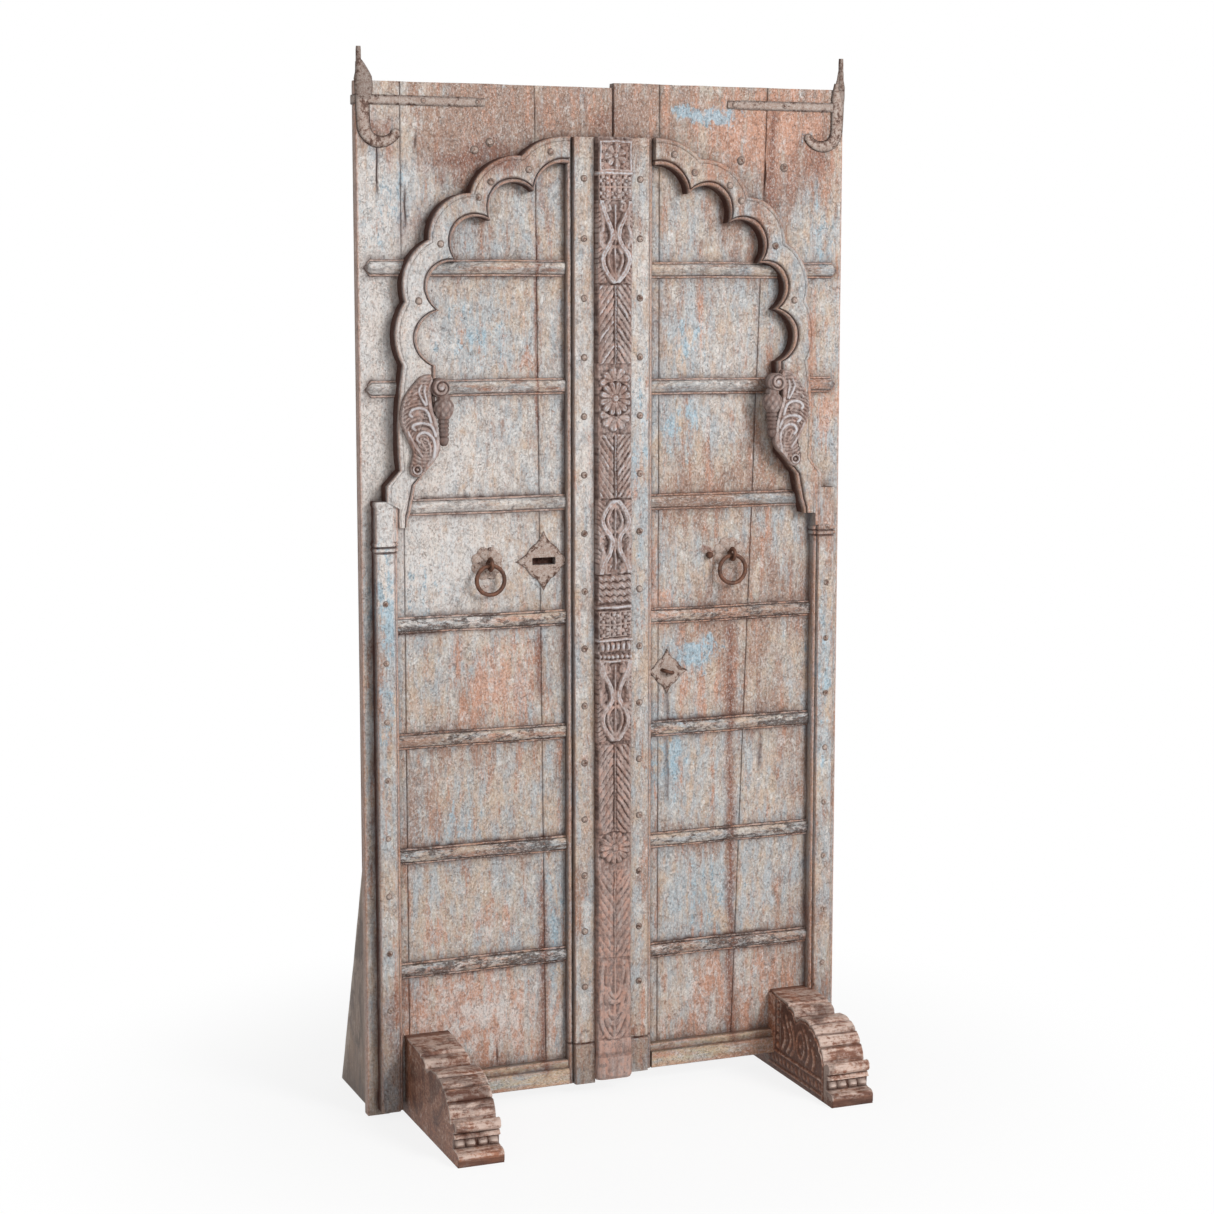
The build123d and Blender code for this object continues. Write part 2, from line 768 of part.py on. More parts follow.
def centre_post():
    half = post_width / 2
    body = block((post_centre - half, post_centre + half), (0, post_proud), (post_foot, post_top))
    overhang = post_base_overhang
    base = block((post_centre - half, post_centre + half), (0, post_proud + relief + overhang),
                 (post_foot, post_foot + post_base_height))
    base = chamfer(front_edges(base, post_proud + relief + overhang), overhang)
    sketch = Sketch() + post_carving()
    frame = bar((post_centre - half, post_centre + half), (post_foot, post_top))
    carving = slab(sketch & frame, post_proud - relief_root, post_proud + relief)
    return body + carving + base


# Iron pivots: pin, shoulder and curled tail in one forging, held by a strap round the leaf's edge


def pivot_plate_range(side):
    outer = side * half_width
    return (outer, outer - side * pivot_plate_width)


def pivot(side):
    outer, inner = pivot_plate_range(side)
    top = leaf_top(side)
    foot = top - pivot_tail_drop
    plate = slab(polygon([
        (outer, top - strap_drop - strap_height), (outer, top + pivot_shoulder),
        (outer - side * 2 * pivot_shoulder_radius, top + pivot_shoulder), (inner, top),
        (inner, top - strap_drop - strap_height)]), 0, pivot_plate_thickness)
    curl_start = ((outer + inner) / 2, top - strap_drop - strap_height)
    curl_low = (outer - side * pivot_curl_reach * 0.62, foot)
    curl_end = (outer - side * (pivot_curl_reach + pivot_plate_width), foot + pivot_curl_rise * 0.55)
    drop = TangentArc(curl_start, curl_low, tangent=(0, -1))
    sweep_up = TangentArc(curl_low, curl_end, tangent=drop % 1)
    width = pivot_plate_width * 0.62
    tail = slab(Sketch() + [trace(drop, width), trace(sweep_up, width)], 0, pivot_plate_thickness)
    knob = front_spot(curl_end[0], 0, curl_end[1]) * Cylinder(
        pivot_knob_radius, pivot_plate_thickness * 1.5, align=(Align.CENTER, Align.CENTER, Align.MIN))
    stand = Pos(outer - side * pivot_shoulder_radius, leaf_front - pivot_plate_thickness / 2, top)
    neck = stand * Cylinder(
        pivot_shoulder_radius, pivot_shoulder, align=(Align.CENTER, Align.CENTER, Align.MIN))
    pin = stand * Pos(0, 0, pivot_shoulder) * Cylinder(
        pivot_pin_radius, pivot_pin_height, align=(Align.CENTER, Align.CENTER, Align.MIN))
    return plate + tail + knob + neck + pin


def pivot_strap(side):
    outer = side * half_width
    edge = outer + side * strap_thickness
    proud = pivot_plate_thickness + strap_thickness
    high = leaf_top(side) - strap_drop
    front_end = outer - side * strap_length
    back_end = outer - side * strap_back_length
    behind = -plank_thickness
    points = [(front_end, 0), (front_end, proud), (edge, proud), (edge, behind - strap_thickness),
              (back_end, behind - strap_thickness), (back_end, behind), (outer, behind), (outer, 0)]
    band = upright(points, (high - strap_height, high))
    plate_x = pivot_plate_range(side)
    bed = block(plate_x, (0, pivot_plate_thickness), (high - 2 * strap_height, high + strap_height))
    return band - bed


# Ring pulls: petalled rose, eye staple and ring


def ring_x(side):
    return left_ring_x if side < 0 else right_ring_x


def rose(side):
    spot = front_spot(ring_x(side), 0, ring_height)
    disc = Cylinder(rose_radius * 0.86, rose_thickness, align=(Align.CENTER, Align.CENTER, Align.MIN))
    lobe_radius = rose_radius * 0.30
    for i in range(rose_petal_count):
        turn = 360 * i / rose_petal_count
        disc += Rot(0, 0, turn) * Pos(rose_radius - lobe_radius, 0) * Cylinder(
            lobe_radius, rose_thickness, align=(Align.CENTER, Align.CENTER, Align.MIN))
    boss = Pos(0, 0, rose_thickness) * Cone(rose_radius * 0.6, rose_radius * 0.35, rose_dome,
                                            align=(Align.CENTER, Align.CENTER, Align.MIN))
    hole = Cylinder(eye_shank_radius + eye_shank_clearance, 4 * (rose_thickness + rose_dome))
    return spot * (disc + boss - hole)


def ring_staple(side):
    spot = front_spot(ring_x(side), eye_proud, ring_height)
    loop = spot * Rot(0, 90, 0) * Torus(eye_radius, eye_wire_radius)
    shank = front_spot(ring_x(side), eye_proud - eye_radius, ring_height) * Cylinder(
        eye_shank_radius, eye_proud - eye_radius + plank_thickness,
        align=(Align.CENTER, Align.CENTER, Align.MAX))
    return loop + shank


def ring_axis_height():
    return ring_height - (eye_radius - eye_wire_radius) + ring_wire_radius + ring_seat_clearance


def ring(side):
    spot = front_spot(ring_x(side), eye_proud, ring_axis_height() - ring_radius)
    return spot * Torus(ring_radius, ring_wire_radius)


# Lock plates with scalloped sides, the hasp on the right one and a latch pin


def plate_face(x, z, size):
    points = [(x + size * cos(i * pi / 2), z + size * sin(i * pi / 2)) for i in range(4)]
    edges = []
    for i in range(4):
        start, end = Vector(*points[i]), Vector(*points[(i + 1) % 4])
        near = start + (end - start) * plate_tip_share
        far = end + (start - end) * plate_tip_share
        out = Vector(cos(i * pi / 2 + pi / 4), sin(i * pi / 2 + pi / 4)) * size * plate_scallop_share
        edges += [Line(start, near), ThreePointArc(near, (near + far) / 2 - out, far), Line(far, end)]
    return make_face(edges)


def lock_plate(side):
    x, z, size = (left_plate_x, left_plate_z, left_plate_size)
    if side > 0:
        x, z, size = (right_plate_x, right_plate_z, right_plate_size)
    plate = slab(plate_face(x, z, size), 0, plate_thickness)
    strip_box = block((strip_edge(side), post_centre), (0, strip_proud), (z - 2 * size, z + 2 * size))
    plate = plate - strip_box
    if side < 0:
        return plate - lock_slot(strip_proud)
    hole = Cylinder(hasp_wire_radius + nail_clearance, 2 * plank_thickness)
    return plate - [front_spot(x + i * hasp_radius, 0, z) * hole for i in (-1, 1)]


def hasp_staple():
    path = Polyline((-hasp_radius, -hasp_shank_length), (-hasp_radius, 0)) + ThreePointArc(
        (-hasp_radius, 0), (0, hasp_radius), (hasp_radius, 0)) + Polyline(
        (hasp_radius, 0), (hasp_radius, -hasp_shank_length))
    section = Pos(-hasp_radius, -hasp_shank_length) * Rot(90, 0, 0) * Circle(hasp_wire_radius)
    staple = sweep(section, path=path)
    return front_spot(right_plate_x, plate_thickness, right_plate_z) * Rot(90, 0, 0) * staple


def latch_pin():
    spot = front_spot(latch_pin_x, 0, latch_pin_z)
    head = Cylinder(latch_pin_radius, latch_pin_length, align=(Align.CENTER, Align.CENTER, Align.MIN))
    head = fillet(head.edges().sort_by(Axis.Z)[-1], latch_pin_radius / 2)
    shank = Cylinder(latch_pin_radius / 2, latch_pin_length, align=(Align.CENTER, Align.CENTER, Align.MAX))
    return spot * (head + shank)


# Carved feet: corbels laid on the floor, scribed round the column, with a heel under the leaf


def foot_size(side):
    if side < 0:
        return (left_foot_reach, left_foot_height)
    return (right_foot_reach, right_foot_height)


def foot_point(side, shares):
    reach, height = foot_size(side)
    return (leaf_front - shares[0] * reach, shares[1] * height)


def foot_carving(side):
    reach, height = foot_size(side)
    border = [foot_point(side, s) for s in foot_border_shares]
    scroll = [foot_point(side, s) for s in foot_scroll_shares]
    low, high = [foot_point(side, s) for s in foot_side_bead_shares]
    half_long, half_high = (foot_oval_size_shares[0] * reach, foot_oval_size_shares[1] * height)
    middle = Pos(*foot_point(side, foot_oval_share))
    faces = [trace(Line(*border), foot_carving_band)]
    faces.append(trace(lobe(scroll[0], scroll[1], foot_scroll_bulge_share), foot_carving_band))
    faces.append(trace(lobe(scroll[1], scroll[2], -foot_scroll_bulge_share), foot_carving_band))
    hole = Ellipse(half_high - foot_carving_band, half_long - foot_carving_band, rotation=90)
    faces.append(middle * (Ellipse(half_high, half_long, rotation=90) - hole))
    faces.append(middle * Circle(foot_carving_band))
    for i in range(foot_side_bead_count):
        z = low[1] + (high[1] - low[1]) * i / (foot_side_bead_count - 1)
        faces.append(Pos(low[0], z) * Circle(foot_carving_band))
    face = Plane.YZ * (Sketch() + faces)
    return extrude(Pos(foot_inner(side) - foot_carving_relief, 0, 0) * face,
                   amount=foot_carving_relief + foot_carving_root, dir=(1, 0, 0))


def foot(side):
    centre = left_foot_x if side < 0 else right_foot_x
    height = foot_size(side)[1]
    lift = leaf_lift(side)
    crest = [foot_point(side, s) for s in foot_top_shares]
    belly_end = foot_point(side, foot_belly_end_share)
    toe = [foot_point(side, s) for s in foot_toe_shares]
    belly = lobe(crest[-1], belly_end, foot_belly_bulge_share)
    edges = Polyline(*crest).edges() + [belly]
    heel = leaf_back + foot_heel
    edges += Polyline(belly_end, *toe, (heel, 0), (heel, lift), (leaf_front, lift), crest[0]).edges()
    profile = Plane.YZ * make_face(edges)
    part = extrude(Pos(centre - foot_width / 2, 0, 0) * profile, amount=foot_width, dir=(1, 0, 0))
    for share in foot_flute_shares:
        along = belly % share
        spot = belly @ share + Vector(along.Y, -along.X) * (foot_flute_radius - foot_flute_depth)
        part -= Pos(centre, spot.X, spot.Y) * Rot(0, 90, 0) * Cylinder(foot_flute_radius, 2 * foot_width)
    bead_face = toe[5][0]
    pitch = foot_width / foot_bead_count
    for i in range(foot_bead_count):
        x = centre + (i - (foot_bead_count - 1) / 2) * pitch
        seat = bead_face + foot_bead_radius * foot_bead_seat_share
        part += Pos(x, seat, foot_bead_share * height) * Sphere(foot_bead_radius)
    if side > 0:
        part += foot_carving(side)
    shaft = block((side * column_inner, side * (column_outer + capital_overhang)), (0, strip_proud),
                  (lift, lift + height))
    return part - shaft


def strut(side):
    outer = side * (half_width - strut_margin)
    inner = outer - side * strut_thickness
    back = leaf_front + strut_reach
    outline = [(leaf_back, 0), (back, 0), (leaf_back + strut_top_depth, strut_height),
               (leaf_back, strut_height)]
    profile = Plane.YZ * make_face(Polyline(*outline, close=True))
    return extrude(Pos(min(outer, inner), 0, 0) * profile, amount=strut_thickness, dir=(1, 0, 0))


def tie(z):
    board = block((-tie_length / 2, tie_length / 2), (-plank_thickness - tie_thickness, -plank_thickness),
                  (z - tie_height / 2, z + tie_height / 2))
    return board - nail_holes(tie_spots(), tie_thickness)


# Every piece as its own node

parts = {}
for side, name in ((-1, "left"), (1, "right")):
    for board, label in zip(planks(side), ("stile_plank", "wide_plank", "meeting_plank")):
        parts[f"{name}_{label}"] = board
    for index in range(batten_count):
        parts[f"{name}_batten_{batten_count - index}"] = batten(side, index)
    parts[f"{name}_arch_moulding"] = arch_moulding(side)
    parts[f"{name}_arch_bracket"] = bracket(side)
    parts[f"{name}_column"] = column(side)
    parts[f"{name}_meeting_strip"] = meeting_strip(side)
    parts[f"{name}_bottom_rail"] = bottom_rail(side)
    parts[f"{name}_strip_nails"] = nails(strip_nail_spots(side), nail_head_radius, strip_proud)
    parts[f"{name}_column_nails"] = nails(column_nail_spots(side), nail_head_radius, strip_proud)
    parts[f"{name}_arch_nails"] = nails(arch_nail_spots(side), nail_head_radius, arch_proud)
    parts[f"{name}_pivot"] = pivot(side)
    parts[f"{name}_pivot_strap"] = pivot_strap(side)
    parts[f"{name}_ring_rose"] = rose(side)
    parts[f"{name}_ring_staple"] = ring_staple(side)
    parts[f"{name}_ring"] = ring(side)
    parts[f"{name}_lock_plate"] = lock_plate(side)
    parts[f"{name}_foot"] = foot(side)
    parts[f"{name}_strut"] = strut(side)
parts["centre_post"] = centre_post()
parts["right_hasp_staple"] = hasp_staple()
parts["right_latch_pin"] = latch_pin()
parts["spandrel_nails"] = nails(spandrel_spots(), spandrel_nail_radius, 0)
parts["lower_tie"] = tie(lower_tie_z)
parts["upper_tie"] = tie(upper_tie_z)
parts["tie_nails"] = nails(tie_spots(), nail_head_radius, tie_thickness)

os.makedirs("parts", exist_ok=True)
for name, part in parts.items():
    export_step(part, f"parts/{name}.step")
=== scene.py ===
import json
import math

import bmesh
import bpy
import numpy as np
from mathutils import Matrix, Vector, noise
from mathutils.bvhtree import BVHTree

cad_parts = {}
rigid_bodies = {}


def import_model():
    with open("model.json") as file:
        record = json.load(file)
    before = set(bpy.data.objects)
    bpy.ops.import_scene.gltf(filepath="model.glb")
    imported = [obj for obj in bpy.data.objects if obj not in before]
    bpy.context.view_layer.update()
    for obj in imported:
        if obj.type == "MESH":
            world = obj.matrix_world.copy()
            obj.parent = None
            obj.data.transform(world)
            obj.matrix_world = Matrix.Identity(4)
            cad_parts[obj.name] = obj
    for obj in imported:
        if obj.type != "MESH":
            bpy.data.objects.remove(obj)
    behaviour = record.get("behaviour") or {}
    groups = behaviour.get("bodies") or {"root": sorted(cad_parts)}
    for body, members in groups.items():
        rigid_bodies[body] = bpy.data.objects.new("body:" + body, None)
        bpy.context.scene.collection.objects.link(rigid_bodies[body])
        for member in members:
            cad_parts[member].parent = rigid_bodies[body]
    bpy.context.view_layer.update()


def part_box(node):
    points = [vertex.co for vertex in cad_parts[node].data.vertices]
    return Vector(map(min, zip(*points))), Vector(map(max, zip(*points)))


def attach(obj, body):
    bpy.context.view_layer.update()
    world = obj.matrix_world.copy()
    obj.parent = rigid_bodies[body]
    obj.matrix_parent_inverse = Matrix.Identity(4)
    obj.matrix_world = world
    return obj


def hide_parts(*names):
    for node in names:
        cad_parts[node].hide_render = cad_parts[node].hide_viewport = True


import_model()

leafFront, leafBack = (1000 * corner.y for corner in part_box("left_stile_plank"))
sides = {"left": -1, "right": 1}
edgeOf = {"left": 92.5, "right": 85.5}      # outer edge of the meeting strip, from the door's middle
spanOf = {"left": 441, "right": 430}        # reach of the arch
liftOf = {"left": 22, "right": 34}          # gap under each leaf
topOf = {"left": 1982, "right": 1991}
bareBack = (0.052, 0.060)                   # in metres, where the paint gives way to the bare back of the boards
parting = 9.5
halfWidth = 502.5
postTop = 1886
print("frame loaded, leaf front at", round(leafFront, 1))


# small tools for shapes, all in millimetres

def newPiece():
    bm = bmesh.new()
    # the grime layer darkens a surface: dirt, and painted shade on walls, in hollows and round the mouldings
    bm.verts.layers.float.new("grimeAndShade")
    bm.verts.layers.float.new("wearAndHighlight")
    return bm


def ripple(x, y, z, size, seed=0.0):     # soft noise in -1..1, size is the length of a wave
    x, y, z = np.broadcast_arrays(x, y, z)
    spots = np.column_stack([np.ravel(part) for part in (x, y, z)]) / np.broadcast_to(size, 3)
    shift = Vector((seed, 2.7 * seed, -1.3 * seed))
    return np.array([noise.noise(Vector(spot) + shift) for spot in spots]).reshape(x.shape)


def mark(bm, verts, grimeAndShade, wearAndHighlight=0.0):
    # rub holds the wear layer, which on carved pieces also carries a painted highlight
    dirtAndShade, rub = bm.verts.layers.float["grimeAndShade"], bm.verts.layers.float["wearAndHighlight"]
    for vert, g, w in zip(verts, np.broadcast_to(grimeAndShade, len(verts)), np.broadcast_to(wearAndHighlight, len(verts))):
        vert[dirtAndShade], vert[rub] = min(max(float(g), 0), 1), min(max(float(w), 0), 1)


def gridSheet(bm, columns, rows, place):  # place(column, row) gives x, y, z, grime and painted shade, wear and painted highlight
    made = bmesh.ops.create_grid(bm, x_segments=columns, y_segments=rows, size=0.5)["verts"]
    column = np.rint((np.array([v.co.x for v in made]) + 0.5) * columns).astype(int)
    row = np.rint((np.array([v.co.y for v in made]) + 0.5) * rows).astype(int)
    x, y, z, grimeAndShade, wearAndHighlight = (np.broadcast_to(part, len(made)) for part in place(column, row))
    for vert, spot in zip(made, np.column_stack((x, y, z))):
        vert.co = spot
    mark(bm, made, grimeAndShade, wearAndHighlight)
    return made


def closeBack(bm, level, dirtAndShade=0.8, axis=1):  # walls from the open edge of a sheet to a flat back, painted dark: dirt and painted shade
    rim = [edge for edge in bm.edges if edge.is_boundary]
    made = bmesh.ops.extrude_edge_only(bm, edges=rim)["geom"]
    backVerts = [part for part in made if isinstance(part, bmesh.types.BMVert)]
    for vert in backVerts:
        vert.co[axis] = level
    mark(bm, backVerts, dirtAndShade)


def closeUp(bm):
    bmesh.ops.remove_doubles(bm, verts=bm.verts, dist=0.005)
    open_ = [edge for edge in bm.edges if edge.is_boundary]
    if open_:
        bmesh.ops.holes_fill(bm, edges=open_, sides=0)
    bmesh.ops.recalc_face_normals(bm, faces=bm.faces)


def boxOf(node):                          # corners of a CAD node
    return (1000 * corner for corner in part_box(node))


mouldings = []                            # worn pieces on the leaves, round whose foot the planks get dirt and painted contact shade


def finishPiece(bm, name, finish, nodes, body="door", sharp=38, soilsAndShadesPlanks=False):
    closeUp(bm)
    if soilsAndShadesPlanks:
        bm.verts.index_update()
        mouldings.append(([v.co.copy() for v in bm.verts], [[v.index for v in f.verts] for f in bm.faces]))
    bmesh.ops.scale(bm, vec=(0.001,) * 3, verts=bm.verts)
    mesh = bpy.data.meshes.new(name)
    bm.to_mesh(mesh)
    bm.free()
    mesh.shade_smooth()
    mesh.set_sharp_from_angle(angle=math.radians(sharp))
    mesh.materials.append(finish)
    piece = bpy.data.objects.new(name, mesh)
    bpy.context.scene.collection.objects.link(piece)
    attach(piece, body)
    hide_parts(*nodes)
    return piece


def denser(points, count):                # more points on the straight runs of a profile
    points = np.array(points, float)
    at = np.linspace(0, len(points) - 1, (len(points) - 1) * count + 1)
    return np.column_stack([np.interp(at, range(len(points)), part) for part in points.T])


def arcBetween(start, end, bulge, count):  # an arc that stands off its chord by a share of the chord
    start, end = np.array(start, float), np.array(end, float)
    chord = end - start
    length = math.hypot(*chord)
    along = chord / length
    out = np.array((-along[1], along[0])) * (1 if bulge >= 0 else -1)
    rise = abs(bulge) * length
    if rise < 1e-6:
        return start + np.linspace(0, 1, count + 1)[:, None] * chord
    radius = (length ** 2 / 4 + rise ** 2) / (2 * rise)
    middle = (start + end) / 2 + out * (rise - radius)
    half = math.asin(min(1, length / 2 / radius))
    half = half if rise <= length / 2 else math.pi - half
    turn = np.linspace(-half, half, count + 1)[:, None]
    return middle + radius * (out * np.cos(turn) + along * np.sin(turn))


def smoothLine(points, count, closed=False):  # a line that runs smoothly through given points
    points = np.array(points, float)
    n = len(points)
    ring = (lambda i: points[i % n]) if closed else (lambda i: points[min(max(i, 0), n - 1)])
    line = []
    for i in range(n if closed else n - 1):
        a, b, c, d = ring(i - 1), ring(i), ring(i + 1), ring(i + 2)
        for t in np.arange(count) / count:
            line.append(0.5 * (2 * b + (c - a) * t + (2 * a - 5 * b + 4 * c - d) * t ** 2
                               + (3 * b - a - 3 * c + d) * t ** 3))
    return np.array(line if closed else line + [points[-1]])


def ridge(distance, width):               # a half-round ridge
    return np.sqrt(np.clip(1 - (distance / width) ** 2, 0, 1))


def toLine(x, z, points):                 # distance of each spot to a line of points
    best = np.full(np.shape(x), 1e9)
    for (ax, az), (bx, bz) in zip(points[:-1], points[1:]):
        dx, dz = bx - ax, bz - az
        t = np.clip(((x - ax) * dx + (z - az) * dz) / max(dx * dx + dz * dz, 1e-9), 0, 1)
        best = np.minimum(best, np.hypot(x - ax - t * dx, z - az - t * dz))
    return best


def hoop(bm, centre, axis, radius, wire, steps, around=14, rough=0.0, grimeAndShade=0.3, wearAndHighlight=0.5):
    # a ring of round bar, slightly hammered
    along = Vector(axis).normalized()
    across = along.orthogonal().normalized()
    before = set(bm.verts)
    section = bmesh.ops.create_circle(bm, cap_ends=False, segments=around, radius=wire)["verts"]
    turn = Matrix((across, along, across.cross(along))).transposed()
    for v in section:
        v.co = Vector(centre) + across * radius + turn @ Vector((v.co.x, v.co.y, 0))
    edges = list({edge for v in section for edge in v.link_edges})
    bmesh.ops.spin(bm, geom=section + edges, cent=centre, axis=along, angle=2 * math.pi, steps=steps, use_merge=True)
    bmesh.ops.remove_doubles(bm, verts=[v for v in bm.verts if v not in before], dist=0.005)
    made = [v for v in bm.verts if v not in before]
    for v in made:
        spot = v.co - Vector(centre)
        core = (spot - along * spot.dot(along)).normalized() * radius
        shrink = rough * (0.5 + 0.5 * noise.noise(v.co * 0.09))
        v.co -= (spot - core).normalized() * shrink
    mark(bm, made, grimeAndShade, wearAndHighlight)
    return made


def bar(bm, points, radii, around=12, grimeAndShade=0.35, wearAndHighlight=0.4, flat=1.0, edge=0.0):  # edge: dirt on a flat bar's sides
    # a round bar swept along a line of points; flat squeezes it towards y
    points = [Vector(p) for p in points]
    radii = np.interp(np.linspace(0, 1, len(points)), np.linspace(0, 1, len(radii)), radii)

    def place(column, row):
        turn = 2 * math.pi * column / around
        spots = []
        for t, i in zip(turn, row):
            ahead = (points[min(i + 1, len(points) - 1)] - points[max(i - 1, 0)]).normalized()
            over = ahead.cross(Vector((0, 1, 0)))
            over = over.normalized() if over.length > 1e-4 else Vector((1, 0, 0))
            up = over.cross(ahead).normalized()
            spots.append(points[i] + float(radii[i]) * (over * math.cos(t) + up * flat * math.sin(t)))
        spots = np.array(spots)
        return spots[:, 0], spots[:, 1], spots[:, 2], grimeAndShade + edge * np.abs(np.cos(turn)) ** 4, wearAndHighlight
    return gridSheet(bm, around, len(points) - 1, place)


# one socket of a material; sums and products of two of them add Math nodes

class Tint:
    def __init__(self, tree, socket=None):
        self.tree, self.socket = tree, socket

    def node(self, kind, settings=None, sockets=None, out=0):
        made = self.tree.nodes.new(kind)
        for key, value in (settings or {}).items():
            setattr(made, key, value)
        for key, value in (sockets or {}).items():
            if isinstance(value, Tint):
                self.tree.links.new(value.socket, made.inputs[key])
            elif value is not None:
                made.inputs[key].default_value = value
        return Tint(self.tree, made.outputs[out] if made.outputs else None)

    def math(self, operation, first, second=None, clamp=False):
        return self.node("ShaderNodeMath", {"operation": operation, "use_clamp": clamp}, {0: first, 1: second})

    def __add__(self, other):
        return self.math("ADD", self, other)

    def __radd__(self, other):
        return self.math("ADD", other, self)

    def __sub__(self, other):
        return self.math("SUBTRACT", self, other)

    def __rsub__(self, other):
        return self.math("SUBTRACT", other, self)

    def __mul__(self, other):
        return self.math("MULTIPLY", self, other)

    def __rmul__(self, other):
        return self.math("MULTIPLY", other, self)

    def __truediv__(self, other):
        return self.math("DIVIDE", self, other)

    def vector(self, operation, first, second=None, out=0):
        return self.node("ShaderNodeVectorMath", {"operation": operation}, {0: first, 1: second}, out=out)

    def clamped(self):
        return self.math("ADD", self, 0.0, clamp=True)

    def between(self, low, high):         # 0 below low, 1 above high
        return self.node("ShaderNodeMapRange", {"interpolation_type": "SMOOTHSTEP"},
                         {0: self, 1: low, 2: high, 3: 0.0, 4: 1.0})

    def spots(self, scale, detail=5.0, rough=0.6, warp=0.0):   # noise at this place
        place = self.vector("MULTIPLY", self, scale)
        return self.node("ShaderNodeTexNoise", None,
                         {"Vector": place, "Scale": 1.0, "Detail": detail, "Roughness": rough, "Distortion": warp})

    def over(self, below, colour):        # this mask lays a colour over another
        return self.node("ShaderNodeMix", {"data_type": "RGBA", "blend_type": "MIX"},
                         {0: self, 6: below, 7: colour}, out=2)

    def parts(self):                      # x, y and z of a place
        split = self.node("ShaderNodeSeparateXYZ", None, {0: self}).socket.node
        return [Tint(self.tree, split.outputs[axis]) for axis in range(3)]

    def near(self, spot, reach):          # 1 at a spot, 0 at its reach, in metres
        gone = self.vector("DIVIDE", self.vector("SUBTRACT", self, spot), reach)
        return (1 - self.vector("LENGTH", gone, out=1)).clamped()


def rgb(red, green, blue):                # a colour as seen, to the linear value a shader wants
    return tuple((c / 255 / 12.92 if c < 11 else ((c / 255 + 0.055) / 1.055) ** 2.4)
                 for c in (red, green, blue)) + (1.0,)


def startFinish(name):
    finish = bpy.data.materials.new(name)
    finish.use_nodes = True
    tree = finish.node_tree
    tree.nodes.clear()
    pen = Tint(tree)
    place = pen.node("ShaderNodeTexCoord", out=3)
    # grime carries dirt and painted shade; wear carries wear and, on carved pieces, a painted highlight
    grimeAndShade = pen.node("ShaderNodeAttribute", {"attribute_name": "grimeAndShade"}, out=2)
    wearAndHighlight = pen.node("ShaderNodeAttribute", {"attribute_name": "wearAndHighlight"}, out=2)
    return finish, pen, place, grimeAndShade, wearAndHighlight


def endFinish(pen, colour, rough, height, strength=0.35, depth=0.0012, metal=None):
    bump = pen.node("ShaderNodeBump", None, {"Strength": strength, "Distance": depth, "Height": height})
    shader = pen.node("ShaderNodeBsdfPrincipled", None,
                      {"Base Color": colour, "Roughness": rough, "Normal": bump, "Metallic": metal})
    shader.socket.node.inputs["Specular IOR Level"].default_value = 0.3
    pen.node("ShaderNodeOutputMaterial", None, {"Surface": shader})


